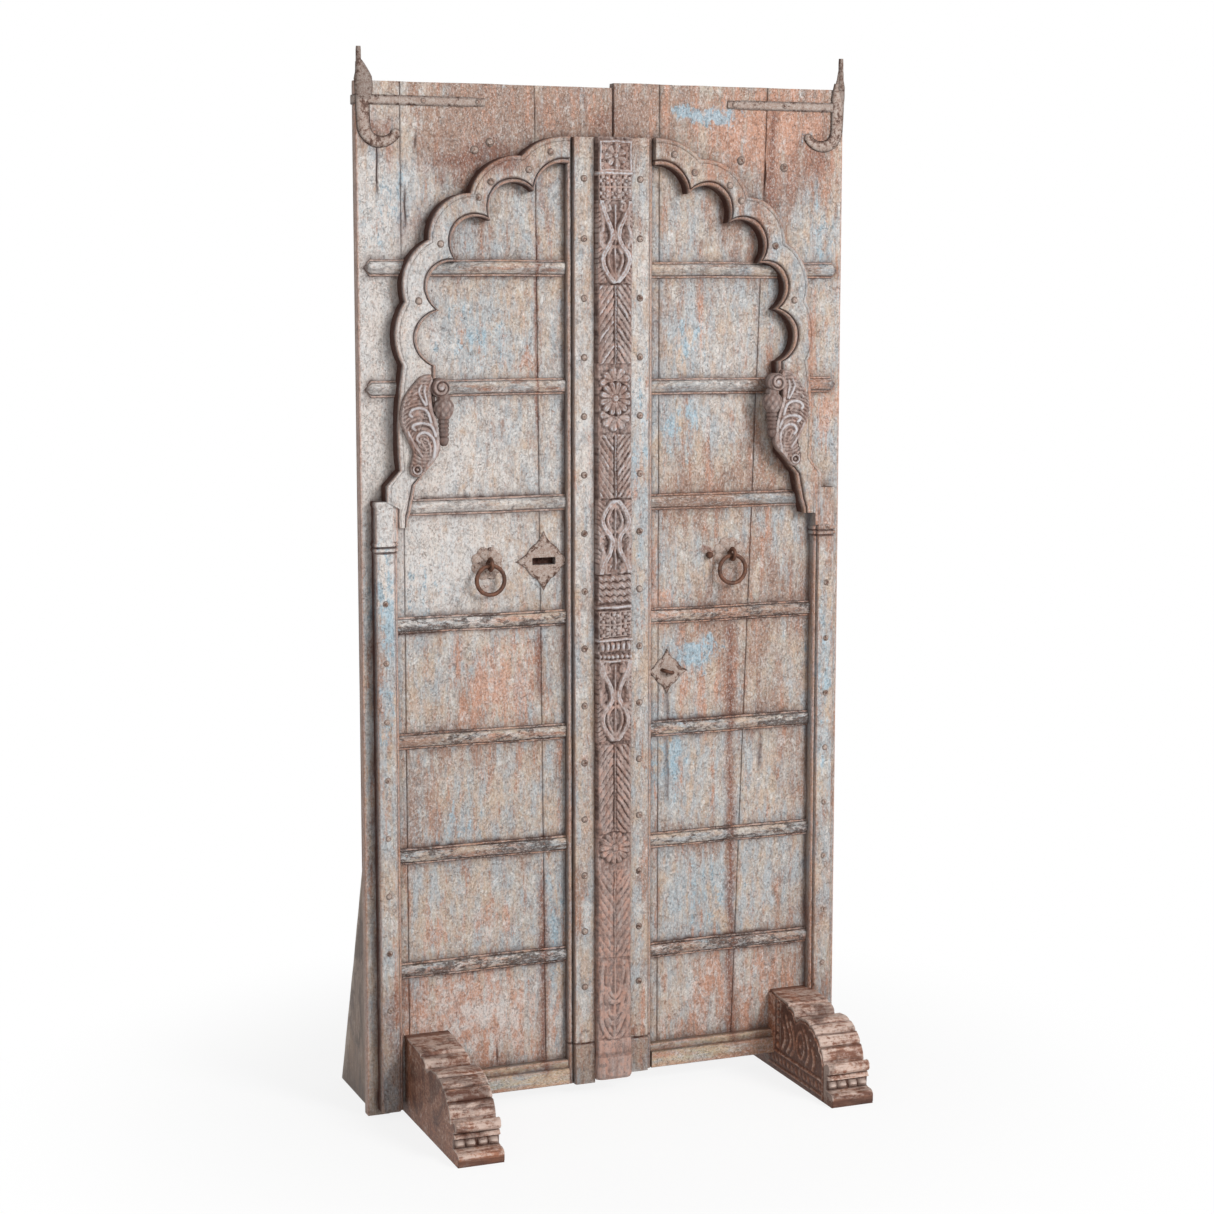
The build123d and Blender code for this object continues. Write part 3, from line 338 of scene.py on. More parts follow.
paintLook = {
    "beige": rgb(186, 166, 151), "grey": rgb(174, 168, 164), "blueGrey": rgb(164, 174, 180),
    "blue": rgb(148, 180, 196), "primer": rgb(200, 146, 120), "brown": rgb(146, 112, 94),
    "white": rgb(222, 217, 213), "green": rgb(160, 158, 142), "stain": rgb(124, 78, 60),
    # dirt is also the colour of the painted shade on walls, in hollows and round the mouldings
    "dirtAndShade": rgb(74, 45, 36), "soot": rgb(56, 44, 39), "tan": rgb(198, 174, 148), "fleck": rgb(112, 86, 73),
    # soft fields of each coat: (x, z, reach x, reach z, strength), in metres
    # on the upper left of the left leaf the pale fields are pale paint with a painted sheen, and the stile's tall
    # field lightens the shade the arch casts on it
    "pale": [(-0.40, 1.93, 0.12, 0.06, 0.5), (0.24, 1.42, 0.14, 0.14, 0.5), (-0.46, 1.42, 0.16, 0.60, 1.3),
             (-0.30, 1.22, 0.22, 0.36, 0.55), (-0.33, 1.06, 0.16, 0.18, 0.45), (-0.05, 1.30, 0.10, 0.60, 0.5),
             (0.05, 1.45, 0.05, 0.36, 0.5), (-0.25, 0.16, 0.24, 0.14, 0.5), (0.24, 0.18, 0.20, 0.16, 0.4)],
    "bare": [(0.26, 1.20, 0.14, 0.10, 0.4), (0.28, 0.92, 0.14, 0.12, 0.3), (-0.16, 1.94, 0.42, 0.12, 0.8),
             (0.32, 1.93, 0.42, 0.22, 0.95), (-0.26, 0.08, 0.38, 0.17, 0.35), (0.30, 0.11, 0.34, 0.24, 0.5),
             (-0.40, 1.92, 0.18, 0.12, 0.5), (0.36, 1.30, 0.16, 0.20, 0.55), (0.17, 1.22, 0.12, 0.12, 0.7),
             (0.30, 0.90, 0.20, 0.30, 0.5), (-0.26, 0.70, 0.22, 0.30, 0.3)],
    # brown stains round the irons, on the shoulders of the arch and in the corners
    "stains": [(-0.465, 1.885, 0.08, 0.07, 0.9), (0.455, 1.88, 0.07, 0.10, 0.8), (-0.30, 1.835, 0.17, 0.045, 0.9),
               (-0.39, 1.72, 0.08, 0.10, 0.7), (0.39, 1.80, 0.10, 0.12, 0.7), (-0.252, 1.03, 0.05, 0.06, 0.6),
               (0.258, 1.03, 0.05, 0.06, 0.6), (0.44, 0.32, 0.07, 0.11, 0.8), (-0.42, 0.24, 0.09, 0.09, 0.6),
               (0.0, 1.92, 0.07, 0.05, 0.8), (-0.13, 1.76, 0.03, 0.14, 0.7), (-0.136, 1.07, 0.075, 0.075, 0.6),
               (0.13, 0.84, 0.06, 0.06, 0.6), (-0.21, 1.85, 0.10, 0.05, 0.5), (0.30, 1.33, 0.05, 0.05, 0.5),
               (0.215, 1.075, 0.04, 0.02, 1.1), (-0.20, 0.50, 0.07, 0.02, 0.7), (0.11, 1.52, 0.03, 0.26, 0.6),
               (0.41, 0.98, 0.04, 0.30, 0.5), (-0.46, 0.16, 0.05, 0.15, 0.7)],
    "blues": [(0.225, 1.937, 0.090, 0.030, 1.1), (0.165, 1.93, 0.05, 0.035, 0.7), (0.42, 1.90, 0.03, 0.06, 0.6),
              (0.165, 1.49, 0.07, 0.10, 0.55), (0.15, 1.33, 0.08, 0.11, 0.65), (0.185, 0.875, 0.085, 0.045, 1.0),
              (0.13, 0.66, 0.09, 0.13, 0.7), (-0.27, 1.50, 0.12, 0.11, 0.55), (-0.40, 1.02, 0.14, 0.16, 0.45),
              (-0.47, 0.85, 0.04, 0.42, 0.6), (0.46, 1.70, 0.05, 0.16, 0.55), (-0.12, 0.35, 0.05, 0.20, 0.65),
              (0.21, 0.36, 0.18, 0.18, 0.5), (-0.33, 0.56, 0.16, 0.13, 0.45), (-0.43, 1.76, 0.09, 0.17, 0.5),
              (0.46, 0.80, 0.04, 0.36, 0.5), (0.05, 1.25, 0.05, 0.36, 0.5)],
    "primers": [(-0.25, 0.15, 0.28, 0.15, 0.6), (0.28, 0.16, 0.28, 0.17, 0.6), (-0.235, 0.835, 0.14, 0.17, 0.9),
                (-0.33, 0.21, 0.16, 0.12, 0.9), (0.44, 1.42, 0.08, 0.22, 0.6), (0.10, 1.0, 0.06, 0.12, 0.6),
                (-0.18, 1.46, 0.06, 0.05, 0.7), (0.10, 0.97, 0.05, 0.05, 0.6), (0.20, 0.78, 0.12, 0.12, 0.5),
                (-0.30, 0.36, 0.20, 0.06, 0.5), (0.34, 1.90, 0.22, 0.14, 0.8)],
    # rusty runs down the seams: (x at foot, x at top, z low, z high, half width)
    "runs": [(0.272, 0.262, 0.03, 0.96, 0.017), (-0.140, -0.143, 0.03, 0.47, 0.015),
             (-0.145, -0.147, 0.78, 0.98, 0.010), (0.345, 0.350, 1.70, 1.98, 0.018),
             (-0.147, -0.15, 1.30, 1.75, 0.006)],
}


def grainScale(grain):                    # grain is the axis that the fibres run along: 0 across the door, 2 up it
    return lambda wide, long: tuple(long if axis == grain else wide for axis in range(3))


def makePaint(name, grain, look, deep=1.0, soot=0.0):
    finish, pen, place, grimeAndShade, wearAndHighlight = startFinish(name)
    along = grainScale(grain)
    broad = place.spots(along(9, 5), 7, 0.65)
    blotch = place.spots(along(24, 11), 7, 0.68)
    patch = place.spots(along(47, 24), 7, 0.70, 0.2)
    streak = place.spots(along(80, 11), 6, 0.68)
    strand = place.spots(along(54, 7), 6, 0.70)
    flakes = place.spots(along(135, 90), 6, 0.74)
    fleck = place.spots(along(300, 190), 3, 0.75)
    grit = place.spots(along(215, 150), 4, 0.78)
    fibre = place.spots(along(520, 36), 3, 0.6)
    # the fields get ragged edges from a shifted place
    shift = pen.node("ShaderNodeTexNoise", None, {"Vector": place, "Scale": 14.0, "Detail": 6.0, "Roughness": 0.7},
                     out=1)
    shift = pen.vector("SUBTRACT", shift, (0.5, 0.5, 0.5))
    ragged = pen.vector("ADD", place, pen.vector("MULTIPLY", shift, (0.11, 0.0, 0.15)))
    plainX, plainY, plainZ = place.parts()
    raggedX, raggedZ = ragged.parts()[::2]

    def field(key):
        total = 0.0
        for x, z, wide, tall, strength in look[key]:
            total = ragged.near((x, 0.041, z), (wide, 9.0, tall)) * strength + total
        return total
    pale, bareness, blues, primers = field("pale"), field("bare"), field("blues"), field("primers")
    tone = (0.5 * broad + 0.5 * blotch).between(0.42, 0.58).over(look["beige"], look["grey"])
    tone = (patch.between(0.47, 0.60) * 0.45).over(tone, look["green"])
    tone = ((0.5 * blotch + 0.5 * streak).between(0.36, 0.50) * -0.5 + 0.5).over(tone, look["tan"])
    tone = ((0.5 * blotch + 0.5 * streak + 0.14 * blues - 0.10 * bareness).between(0.46, 0.58)
            * 0.78).over(tone, look["blueGrey"])
    tone = ((0.5 * broad + 0.5 * strand + 0.17 * bareness - 0.08 * pale).between(0.50, 0.61)
            * 0.82).over(tone, look["brown"])
    tone = ((0.35 * flakes + 0.65 * strand + 0.17 * primers + 0.04 * bareness).between(0.54, 0.63)
            * 0.70).over(tone, look["primer"])
    # white coat, lifted in the pale fields, which on the upper left are partly a painted sheen
    tone = ((0.35 * flakes + 0.65 * patch + 0.18 * pale - 0.06 * bareness).between(0.50, 0.61)
            * 0.70).over(tone, look["white"])
    blueMask = (0.3 * flakes + 0.45 * patch + 0.25 * streak + 0.22 * blues).between(0.585, 0.66)
    tone = (blueMask * 0.80).over(tone, look["blue"])
    stained = (field("stains") * (0.3 + 1.1 * strand) + 0.6 * (patch - 0.5)).between(0.15, 0.85)
    tone = (stained * 0.85).over(tone, look["stain"])
    # brown runs down the seams, rubbed edges, then dirt and painted shade in the corners, on walls and round the
    # mouldings
    runs = 0.0
    for low, high, foot, top, wide in look["runs"]:
        slope = (high - low) / (top - foot)
        line = (1 - pen.math("ABSOLUTE", 0.25 * raggedX + 0.75 * plainX - (plainZ * slope + (low - foot * slope)))
                / wide).clamped()
        runs = line * raggedZ.between(foot, foot + 0.06) * (1 - raggedZ.between(top - 0.06, top)) + runs
    tone = (runs * (0.35 + 1.2 * streak)).clamped().over(tone, look["stain"])
    rubbed = (wearAndHighlight * (0.4 + patch) + 0.3 * (flakes - 0.5)).between(0.30, 0.80)
    tone = (rubbed * 0.62).over(tone, look["primer"])
    crack = pen.node("ShaderNodeTexVoronoi", {"feature": "DISTANCE_TO_EDGE"}, {"Vector": ragged, "Scale": 95.0})
    crack = (1 - crack.between(0.0, 0.07)) * flakes.between(0.42, 0.58)
    if soot:                              # dark worn blotches, mostly on the lower battens
        black = (0.6 * place.spots((42, 150, 110), 6, 0.72, 0.5) + 0.4 * blotch + 0.10 * grimeAndShade).between(0.485, 0.55)
        black = black * (0.85 - 0.45 * plainZ.between(0.95, 1.15)) * soot
        tone = black.clamped().over(tone, look["soot"])
    flecks = (1 - fleck.between(0.34, 0.50)) * 0.44 + (1 - fibre.between(0.32, 0.50)) * 0.16 + crack * 0.25
    tone = (flecks * (0.45 + 0.9 * blotch)).clamped().over(tone, look["fleck"])
    tone = ((1 - grit.between(0.32, 0.46)) * 0.40).over(tone, look["blueGrey"])
    tone = (grit.between(0.55, 0.68) * 0.42).over(tone, look["primer"])
    tone = (fleck.between(0.50, 0.66) * 0.42 + fibre.between(0.55, 0.70) * 0.12).clamped().over(tone, look["white"])
    wood = (0.5 * strand + 0.5 * fibre).between(0.40, 0.62).over(look["brown"], look["beige"])
    tone = (plainY.between(*bareBack) * (0.65 + 0.5 * patch)).clamped().over(tone, wood)
    # the grime layer takes the paint to the dirt colour: dirt, and painted shade
    dirtAndShadeMix = (grimeAndShade * (0.55 + 0.95 * patch) * deep + (flakes - 0.5) * 0.5 * grimeAndShade).clamped()
    tone = dirtAndShadeMix.over(tone, look["dirtAndShade"])
    rough = 0.34 + 0.24 * patch + 0.18 * dirtAndShadeMix
    height = 0.4 * streak + 0.25 * fibre + 0.4 * fleck + 0.5 * flakes - 0.3 * crack - 0.4 * dirtAndShadeMix
    endFinish(pen, tone, rough, height, 1.0, 0.0030)
    return finish


plankPaint = makePaint("plank_paint", 2, paintLook)
barPaint = makePaint("upright_paint", 2, paintLook, deep=1.1)
battenPaint = makePaint("batten_paint", 0, paintLook, deep=1.0, soot=1.0)
archPaint = makePaint("arch_paint", 2, paintLook, deep=1.2)
railPaint = makePaint("rail_paint", 0, dict(paintLook, beige=rgb(200, 176, 148), grey=rgb(188, 182, 156),
                                            brown=rgb(162, 124, 100)), deep=0.8)

# pale is the colour of worn paint and painted highlight on raised carving; deep that of patina and painted shade in
# the hollows
carvedLook = {"deep": rgb(66, 45, 39), "brown": rgb(147, 119, 108), "grey": rgb(172, 162, 158),
              "pale": rgb(200, 204, 210), "primer": rgb(188, 137, 116), "dark": rgb(112, 86, 77)}


def makeCarved(name, look):
    finish, pen, place, grimeAndShade, wearAndHighlight = startFinish(name)
    patch = place.spots((30, 30, 20), 7, 0.68, 0.5)
    flakes = place.spots((120, 120, 90), 6, 0.72)
    speck = place.spots((330, 330, 240), 4, 0.72)
    streak = place.spots((140, 140, 16), 4, 0.6)
    tone = (0.5 * patch + 0.5 * streak).between(0.38, 0.62).over(look["brown"], look["grey"])
    level = place.parts()[2]
    tone = ((0.5 * patch + 0.5 * flakes + 0.06 * (1 - level.between(0.2, 1.0))).between(0.50, 0.64)
            * 0.6).over(tone, look["primer"])
    tone = ((1 - flakes.between(0.38, 0.52)) * 0.55).over(tone, look["dark"])
    # raised carving goes pale: worn paint, with a painted highlight on the ridges
    high = (wearAndHighlight * (0.1 + 1.2 * patch) + 0.7 * (flakes - 0.5) + 0.4 * (speck - 0.5)).between(0.22, 0.75)
    tone = (high * 0.66).over(tone, look["pale"])
    # hollows go dark: patina, with painted shade
    low = (grimeAndShade * (0.6 + 0.8 * patch) + (0.5 - flakes) * 0.25).clamped()
    tone = low.over(tone, look["deep"])
    endFinish(pen, tone, 0.36 + 0.25 * patch, 0.6 * speck + 0.3 * streak + 0.5 * flakes, 0.9, 0.002)
    return finish


carvedWood = makeCarved("carved_wood_worn", carvedLook)

# deep is the colour of dirt and of painted shade on the feet's sides and in their hollows
footLook = {"dark": rgb(124, 82, 65), "brown": rgb(176, 132, 110), "pale": rgb(216, 196, 184),
            "deep": rgb(64, 38, 30), "warm": rgb(188, 122, 88)}
strutLook = {"dark": rgb(116, 97, 86), "brown": rgb(154, 134, 120), "pale": rgb(182, 167, 154),
             "deep": rgb(74, 58, 50), "warm": rgb(162, 132, 108)}


def makeBareWood(name, look, grain):
    finish, pen, place, grimeAndShade, wearAndHighlight = startFinish(name)
    along = grainScale(grain)
    streak = place.spots(along(150, 14), 6, 0.68)
    fibre = place.spots(along(430, 34), 3, 0.6)
    patch = place.spots((28, 28, 28), 7, 0.68, 0.6)
    flakes = place.spots((130, 130, 130), 6, 0.72)
    stain = place.spots((9, 9, 9), 6, 0.62, 1.0)
    tone = (0.6 * streak + 0.4 * patch).between(0.40, 0.58).over(look["dark"], look["brown"])
    tone = ((0.5 * stain + 0.5 * streak).between(0.50, 0.60) * 0.6).over(tone, look["warm"])
    tone = ((0.4 * patch + 0.3 * flakes + 0.3 * streak + 0.20 * wearAndHighlight).between(0.51, 0.62)
            * 0.8).over(tone, look["pale"])
    low = ((1 - stain.between(0.36, 0.47)) * 0.6 + (1 - fibre.between(0.32, 0.44)) * 0.40
           + (1 - flakes.between(0.35, 0.44)) * 0.35).clamped()
    tone = low.over(tone, look["deep"])
    tone = ((wearAndHighlight * (0.4 + patch)).between(0.4, 0.9) * 0.7).over(tone, look["pale"])
    # grime takes the wood to the deep colour: dirt, and painted shade on the feet's sides, heels and hollows
    tone = (grimeAndShade * (0.55 + 0.8 * patch)).clamped().over(tone, look["deep"])
    endFinish(pen, tone, 0.42 + 0.25 * patch, 0.6 * streak + 0.4 * fibre + 0.5 * flakes, 0.9, 0.0025)
    return finish


footWood = makeBareWood("foot_wood_worn", footLook, 0)
strutWood = makeBareWood("strut_wood_worn", strutLook, 2)
tieWood = makeBareWood("tie_wood_worn", strutLook, 0)

ironLook = {"black": rgb(78, 58, 50), "rust": rgb(132, 90, 70), "paint": rgb(164, 140, 127),
            "pale": rgb(190, 180, 172), "deep": rgb(44, 32, 28)}


def makeIron(name, look, painted):
    finish, pen, place, grimeAndShade, wearAndHighlight = startFinish(name)
    patch = place.spots((60, 60, 60), 7, 0.68, 0.4)
    flakes = place.spots((150, 150, 150), 6, 0.72)
    speck = place.spots((420, 420, 420), 4, 0.7)
    tone = (0.5 * patch + 0.5 * flakes).between(0.38, 0.62).over(look["black"], look["rust"])
    coat = (0.5 * patch + 0.5 * flakes + (painted - 0.5) * 0.35 - 0.15 * wearAndHighlight).between(0.46, 0.56)
    layer = (0.5 * speck + 0.5 * flakes).between(0.42, 0.6).over(look["paint"], look["pale"])
    tone = (coat * 0.80).over(tone, layer)
    # grime takes the iron to the deep colour: dirt, and painted shade in the lock's slot and on the plate's rim
    low = (grimeAndShade * (0.5 + 0.8 * patch) + (0.5 - speck) * 0.4).clamped()
    tone = low.over(tone, look["deep"])
    endFinish(pen, tone, 0.45 + 0.3 * patch, 0.5 * flakes + 0.6 * speck, 0.6, 0.001, (1 - coat) * 0.35)
    return finish


rustyIron = makeIron("rusty_iron", ironLook, 0.35)
paintedIron = makeIron("painted_iron", ironLook, 0.80)
print("finishes made")


# arch mouldings

archLook = {
    "face": 33.6, "hollow": 0.9, "foot": 1152, "rise": 734, "neck": 52,
    "valleys": [(0.276, 0.948), (0.570, 0.8515), (0.806, 0.733), (0.943, 0.576), (0.960, 0.4155)],
    "outerBulge": [0.11, 0.18, 0.21, 0.185, 0.145],
    "cusps": [(0.202, 0.857), (0.453, 0.782), (0.6405, 0.676), (0.741, 0.553), (0.766, 0.413)],
    "innerBulge": [0.22, 0.41, 0.42, 0.42, 0.39],
    "legOuter": [(0.982, 0.147), (1.057, 0.1076)],
    "legInner": [(0.780, 0.168), (0.886, 0.109), (0.9195, 0.033), (0.943, 0)],
    "columnTop": 1202, "columnInner": 437,
    # across the face: distance from the outer edge, how far proud, dirt and painted shade, wear; the wall rows are
    # painted dark as shade
    "outerEdge": [(0, -2, 0.95, 0), (0, 10, 0.95, 0), (0, 22, 0.9, 0), (0.3, 30.5, 0.55, 0.3), (1.6, 33.2, 0.2, 0.8),
                  (4, 34, 0.1, 0.5), (8, 34, 0.12, 0.1), (9.2, 33.1, 0.35, 0), (10.4, 34, 0.1, 0.2),
                  (15, 34.2, 0.05, 0.1)],
    # the same from the inner edge
    "innerEdge": [(0, -2, 0.95, 0), (0, 9, 0.9, 0), (0, 20, 0.8, 0), (0.4, 26, 0.5, 0.4), (2.0, 30.2, 0.2, 0.9),
                  (4.5, 31.6, 0.1, 0.9), (7.2, 30.4, 0.3, 0.5), (8.6, 28.6, 0.8, 0), (10, 30.6, 0.6, 0.1),
                  (12.5, 33.4, 0.15, 0.3)],
}


def archLine(name, look):
    edge, span = edgeOf[name], spanOf[name]

    def at(share):
        return edge + share[0] * (span - edge), look["foot"] + share[1] * look["rise"]
    outer = [np.array([(edge, postTop)])]
    inner = [np.array([(edge, postTop - look["neck"])])]
    for i, (valley, cusp) in enumerate(zip(look["valleys"], look["cusps"])):
        outer.append(arcBetween(outer[-1][-1], at(valley), look["outerBulge"][i], 26)[1:])
        inner.append(arcBetween(inner[-1][-1], at(cusp), look["innerBulge"][i], 26)[1:])
    outerLeg = [at(look["legOuter"][0]), at(look["legOuter"][1]), (at(look["legOuter"][1])[0], look["columnTop"]),
                (look["columnInner"], look["columnTop"] - 1), (look["columnInner"], look["foot"])]
    innerLeg = [at(share) for share in look["legInner"][:3]] + [at((0.938, 0.012)), at(look["legInner"][3])]
    for i, (a, b) in enumerate(zip(outerLeg, innerLeg)):
        count = 30 if i == 0 else 8
        outer.append(arcBetween(outer[-1][-1], a, 0.03 if i == 0 else 0, count)[1:])
        inner.append(arcBetween(inner[-1][-1], b, 0, count)[1:])
    return np.vstack(outer), np.vstack(inner)


def makeArch(name, look):
    side = sides[name]
    outer, inner = archLine(name, look)
    outerEdge, innerEdge = np.array(look["outerEdge"]), np.array(look["innerEdge"])
    middle = 7
    rows = len(outerEdge) + middle + len(innerEdge) - 1
    bm = newPiece()

    def place(column, row):
        wide = np.hypot(*(inner - outer).T)[column]
        fromOuter = row < len(outerEdge)
        fromInner = row > len(outerEdge) + middle - 1
        squeeze = np.clip(wide / 40, 0.05, 1)
        a = outerEdge[np.clip(row, 0, len(outerEdge) - 1)]
        b = innerEdge[np.clip(rows - row, 0, len(innerEdge) - 1)]
        step = (row - len(outerEdge) + 1) / (middle + 1)
        far = outerEdge[-1, 0] * squeeze + (wide - (outerEdge[-1, 0] + innerEdge[-1, 0]) * squeeze) * step
        far = np.where(fromOuter, a[:, 0] * squeeze, np.where(fromInner, wide - b[:, 0] * squeeze, far))

        def pick(part, flat):
            return np.where(fromOuter, a[:, part], np.where(fromInner, b[:, part], flat))
        proud = pick(1, outerEdge[-1, 1] - look["hollow"] * np.sin(math.pi * step))
        grimeAndShade, wearAndHighlight = pick(2, 0.05), pick(3, 0.05)
        share = (far / np.maximum(wide, 1e-6))[:, None]
        spot = outer[column] * (1 - share) + inner[column] * share
        x, z = side * spot[:, 0], spot[:, 1]
        onTop = proud > 20
        bumps = ripple(x, 0, z, 26, 3.1) * 0.55 + ripple(x, 0, z, 7, 1.7) * 0.22
        y = leafFront - proud + bumps * onTop
        x = x + ripple(x, proud, z, 30, 8.2) * 0.8
        z = z + ripple(x, proud, z, 30, 4.4) * 0.8
        return x, y, z, grimeAndShade, wearAndHighlight
    gridSheet(bm, len(outer) - 1, rows, place)
    closeBack(bm, leafFront + 2)
    return finishPiece(bm, name + "ArchMoulding", archPaint, [name + "_arch_moulding"],
                       sharp=50, soilsAndShadesPlanks=True)


for sideName in sides:
    makeArch(sideName, archLook)
print("arches made")


# upright strips, columns, rails and battens: a profile drawn along a straight run

def makeRun(bm, profile, stations, spot, seed, count=3, wobble=0.5, chip=0.0):
    # profile holds (share across, proud, dirt and painted shade, wear) round the front, from back edge to back edge;
    # the walls at both edges are painted dark as shade
    line = denser(profile, count)
    line = np.vstack([line, line[:1]])

    def place(column, row):
        across, proud, grimeAndShade, wearAndHighlight = line[column].T
        run = np.asarray(stations)[row]
        x, z, lift, dirtAndShade = spot(across, run)
        grimeAndShade = np.maximum(grimeAndShade, dirtAndShade)
        bumps = ripple(x, proud, z, 45, seed) * wobble + ripple(x, proud, z, 9, seed + 2) * wobble * 0.35
        worn = np.clip(ripple(x, 0, z, 30, seed + 5) - 0.15, 0, 1) * chip * wearAndHighlight
        y = leafFront - proud * lift + np.where(proud > 3, bumps + worn, 0)
        x = x + ripple(x, proud, z, 60, seed + 9) * wobble * 0.6
        return x, y, z, grimeAndShade, wearAndHighlight
    return gridSheet(bm, len(line) - 1, len(stations) - 1, place)


stripLook = {"width": 53, "face": 27.8, "block": 104, "boss": 118,
             "profile": [(0.0, -2, 0.8, 0), (0.0, 8, 0.6, 0.2), (0.005, 14, 0.4, 0.4), (0.05, 17.2, 0.1, 0.8),
                         (0.10, 17.8, 0.1, 0.6), (0.15, 16.8, 0.3, 0.2), (0.185, 14.5, 0.7, 0), (0.195, 18, 0.6, 0.2),
                         (0.20, 25, 0.3, 0.5), (0.225, 27.4, 0.1, 0.7), (0.27, 28, 0.03, 0.3), (0.60, 28, 0.0, 0.1),
                         (0.94, 28, 0.03, 0.3), (0.985, 27.2, 0.1, 0.8), (1.0, 24.5, 0.3, 0.4), (1.0, 10, 0.65, 0),
                         (1.0, -2, 0.8, 0)]}
for sideName, side in sides.items():
    bm = newPiece()
    stations = np.concatenate([np.linspace(liftOf[sideName] + 0.4, 150, 60), np.linspace(154, postTop - 1, 240)])

    def stripSpot(across, run):
        block = np.clip((stripLook["block"] - run) / 4, 0, 1)
        boss = ridge(np.hypot((across - 0.6) * stripLook["width"], run - stripLook["boss"]), 15)
        dirtAndShade = np.maximum(0.35 * block, 0.8 * ridge(run - stripLook["block"] - 1, 3)
                          + 0.5 * ridge(boss - 0.35, 0.3) * (across > 0.2))
        x = side * (edgeOf[sideName] - stripLook["width"] * across)
        return x, run, 1 + 0.09 * block + 0.14 * boss * (across > 0.2), dirtAndShade
    makeRun(bm, stripLook["profile"], stations, stripSpot, 11.0 + side, wobble=0.6, chip=2.0)
    finishPiece(bm, sideName + "MeetingStrip", barPaint, [sideName + "_meeting_strip"], soilsAndShadesPlanks=True)

columnLook = {"inner": 437, "outer": 482, "thick": 25.2,
              "profile": [(0.0, -2, 0.7, 0), (0.0, 9, 0.30, 0.3), (0.01, 16, 0.2, 0.6), (0.06, 18.8, 0.1, 0.9),
                          (0.11, 18.8, 0.1, 0.7), (0.145, 18.0, 0.4, 0), (0.165, 22, 0.2, 0.5),
                          (0.20, 24.6, 0.05, 0.7), (0.3, 25.2, 0, 0.1), (0.8, 25.2, 0, 0.1), (0.93, 24.6, 0.05, 0.5),
                          (0.98, 22.5, 0.2, 0.8), (1.0, 18, 0.6, 0.2), (1.0, 8, 0.9, 0), (1.0, -2, 0.9, 0)]}
for sideName, side in sides.items():
    bm = newPiece()
    low, high = boxOf(sideName + "_column")
    foot, head = low.z, high.z
    scale = (leafFront - low.y) / columnLook["thick"]
    stations = np.concatenate([np.linspace(foot + 0.3, head - 101, 180), np.linspace(head - 100, head - 0.3, 90)])

    def columnSpot(across, run):
        # two bands with grooves stand out at the foot of the capital, one at its head
        band = ridge(run - (head - 92), 4) + ridge(run - (head - 82), 4) + ridge(run - (head - 6), 6) * 0.8
        groove = ridge(run - (head - 97), 2.4) + ridge(run - (head - 87), 2.0)
        wide = columnLook["outer"] - columnLook["inner"]
        x = columnLook["inner"] + across * wide + (across - 0.5) * 2 * 2.4 * band
        lip = np.interp(across, [0.0, 0.01, 0.06, 0.11, 0.145, 0.165, 0.2], [25, 16, 18.8, 18.8, 18.0, 22, 24.6])
        flush = np.where((run > head - 76) & (across < 0.2), 24.6 / lip, 1.0)
        scarf = 0.8 * ridge(run - foot - 165 + 150 * across, 3.0)
        dirtAndShade = np.maximum(0.75 * groove, np.maximum(scarf, 0.4 * np.clip((foot + 190 - run) / 120, 0, 1)))
        return side * x, run, (scale / 1.06) * (1 + 0.055 * band - 0.09 * groove - 0.03 * scarf) * flush, dirtAndShade
    makeRun(bm, columnLook["profile"], stations, columnSpot, 21.0 + side, wobble=0.6, chip=2.0)
    finishPiece(bm, sideName + "Column", barPaint, [sideName + "_column"], soilsAndShadesPlanks=True)

battenLook = {"height": 32, "left": (286, 225.3), "right": (274, 226.8), "end": 437, "stub": 491.5, "point": 12,
              "profile": [(0.0, -2, 0.9, 0), (0.0, 1.6, 0.7, 0.2), (0.03, 3.2, 0.15, 0.9), (0.11, 3.8, 0.15, 0.9),
                          (0.14, 3.4, 0.6, 0), (0.17, 6.4, 0.35, 0.4), (0.22, 7.8, 0.15, 0.3), (0.34, 8.8, 0.20, 0.1),
                          (0.50, 9.8, 0.05, 0.1), (0.60, 10.0, 0.0, 0.1), (0.74, 9.2, 0.0, 0.1),
                          (0.83, 7.4, 0.05, 0.4), (0.86, 3.6, 0.5, 0), (0.90, 3.8, 0.15, 0.7), (0.97, 3.2, 0.1, 0.9),
                          (1.0, 1.6, 0.6, 0.1), (1.0, -2, 0.9, 0)]}
for sideName, side in sides.items():
    first, pitch = battenLook[sideName]
    for number in range(1, 8):
        bm = newPiece()
        middle = first + pitch * (7 - number)
        stub = number <= 2
        reach = battenLook["stub"] if stub else battenLook["end"]
        stations = np.linspace(edgeOf[sideName] + 0.2, reach - 0.2, 110)
        if stub:
            stations = np.concatenate([np.linspace(edgeOf[sideName] + 0.2, reach - 14, 104),
                                       np.linspace(reach - 12, reach - 0.3, 10)])

        def battenSpot(across, run):
            shrink = np.clip((reach - run) / battenLook["point"], 0.02, 1) if stub else 1.0
            z = middle + (across - 0.5) * battenLook["height"] * shrink
            z = z + ripple(run, number * 50, 0, 160, 4.0) * 1.6
            return side * run, z, np.minimum(1, 0.35 + shrink * 0.65), 0.8 * (1 - shrink)
        makeRun(bm, battenLook["profile"], stations, battenSpot, 31.0 + side * number, wobble=0.5, chip=3.2)
        finishPiece(bm, sideName + "Batten%d" % number, battenPaint, [sideName + "_batten_%d" % number],
                    soilsAndShadesPlanks=True)

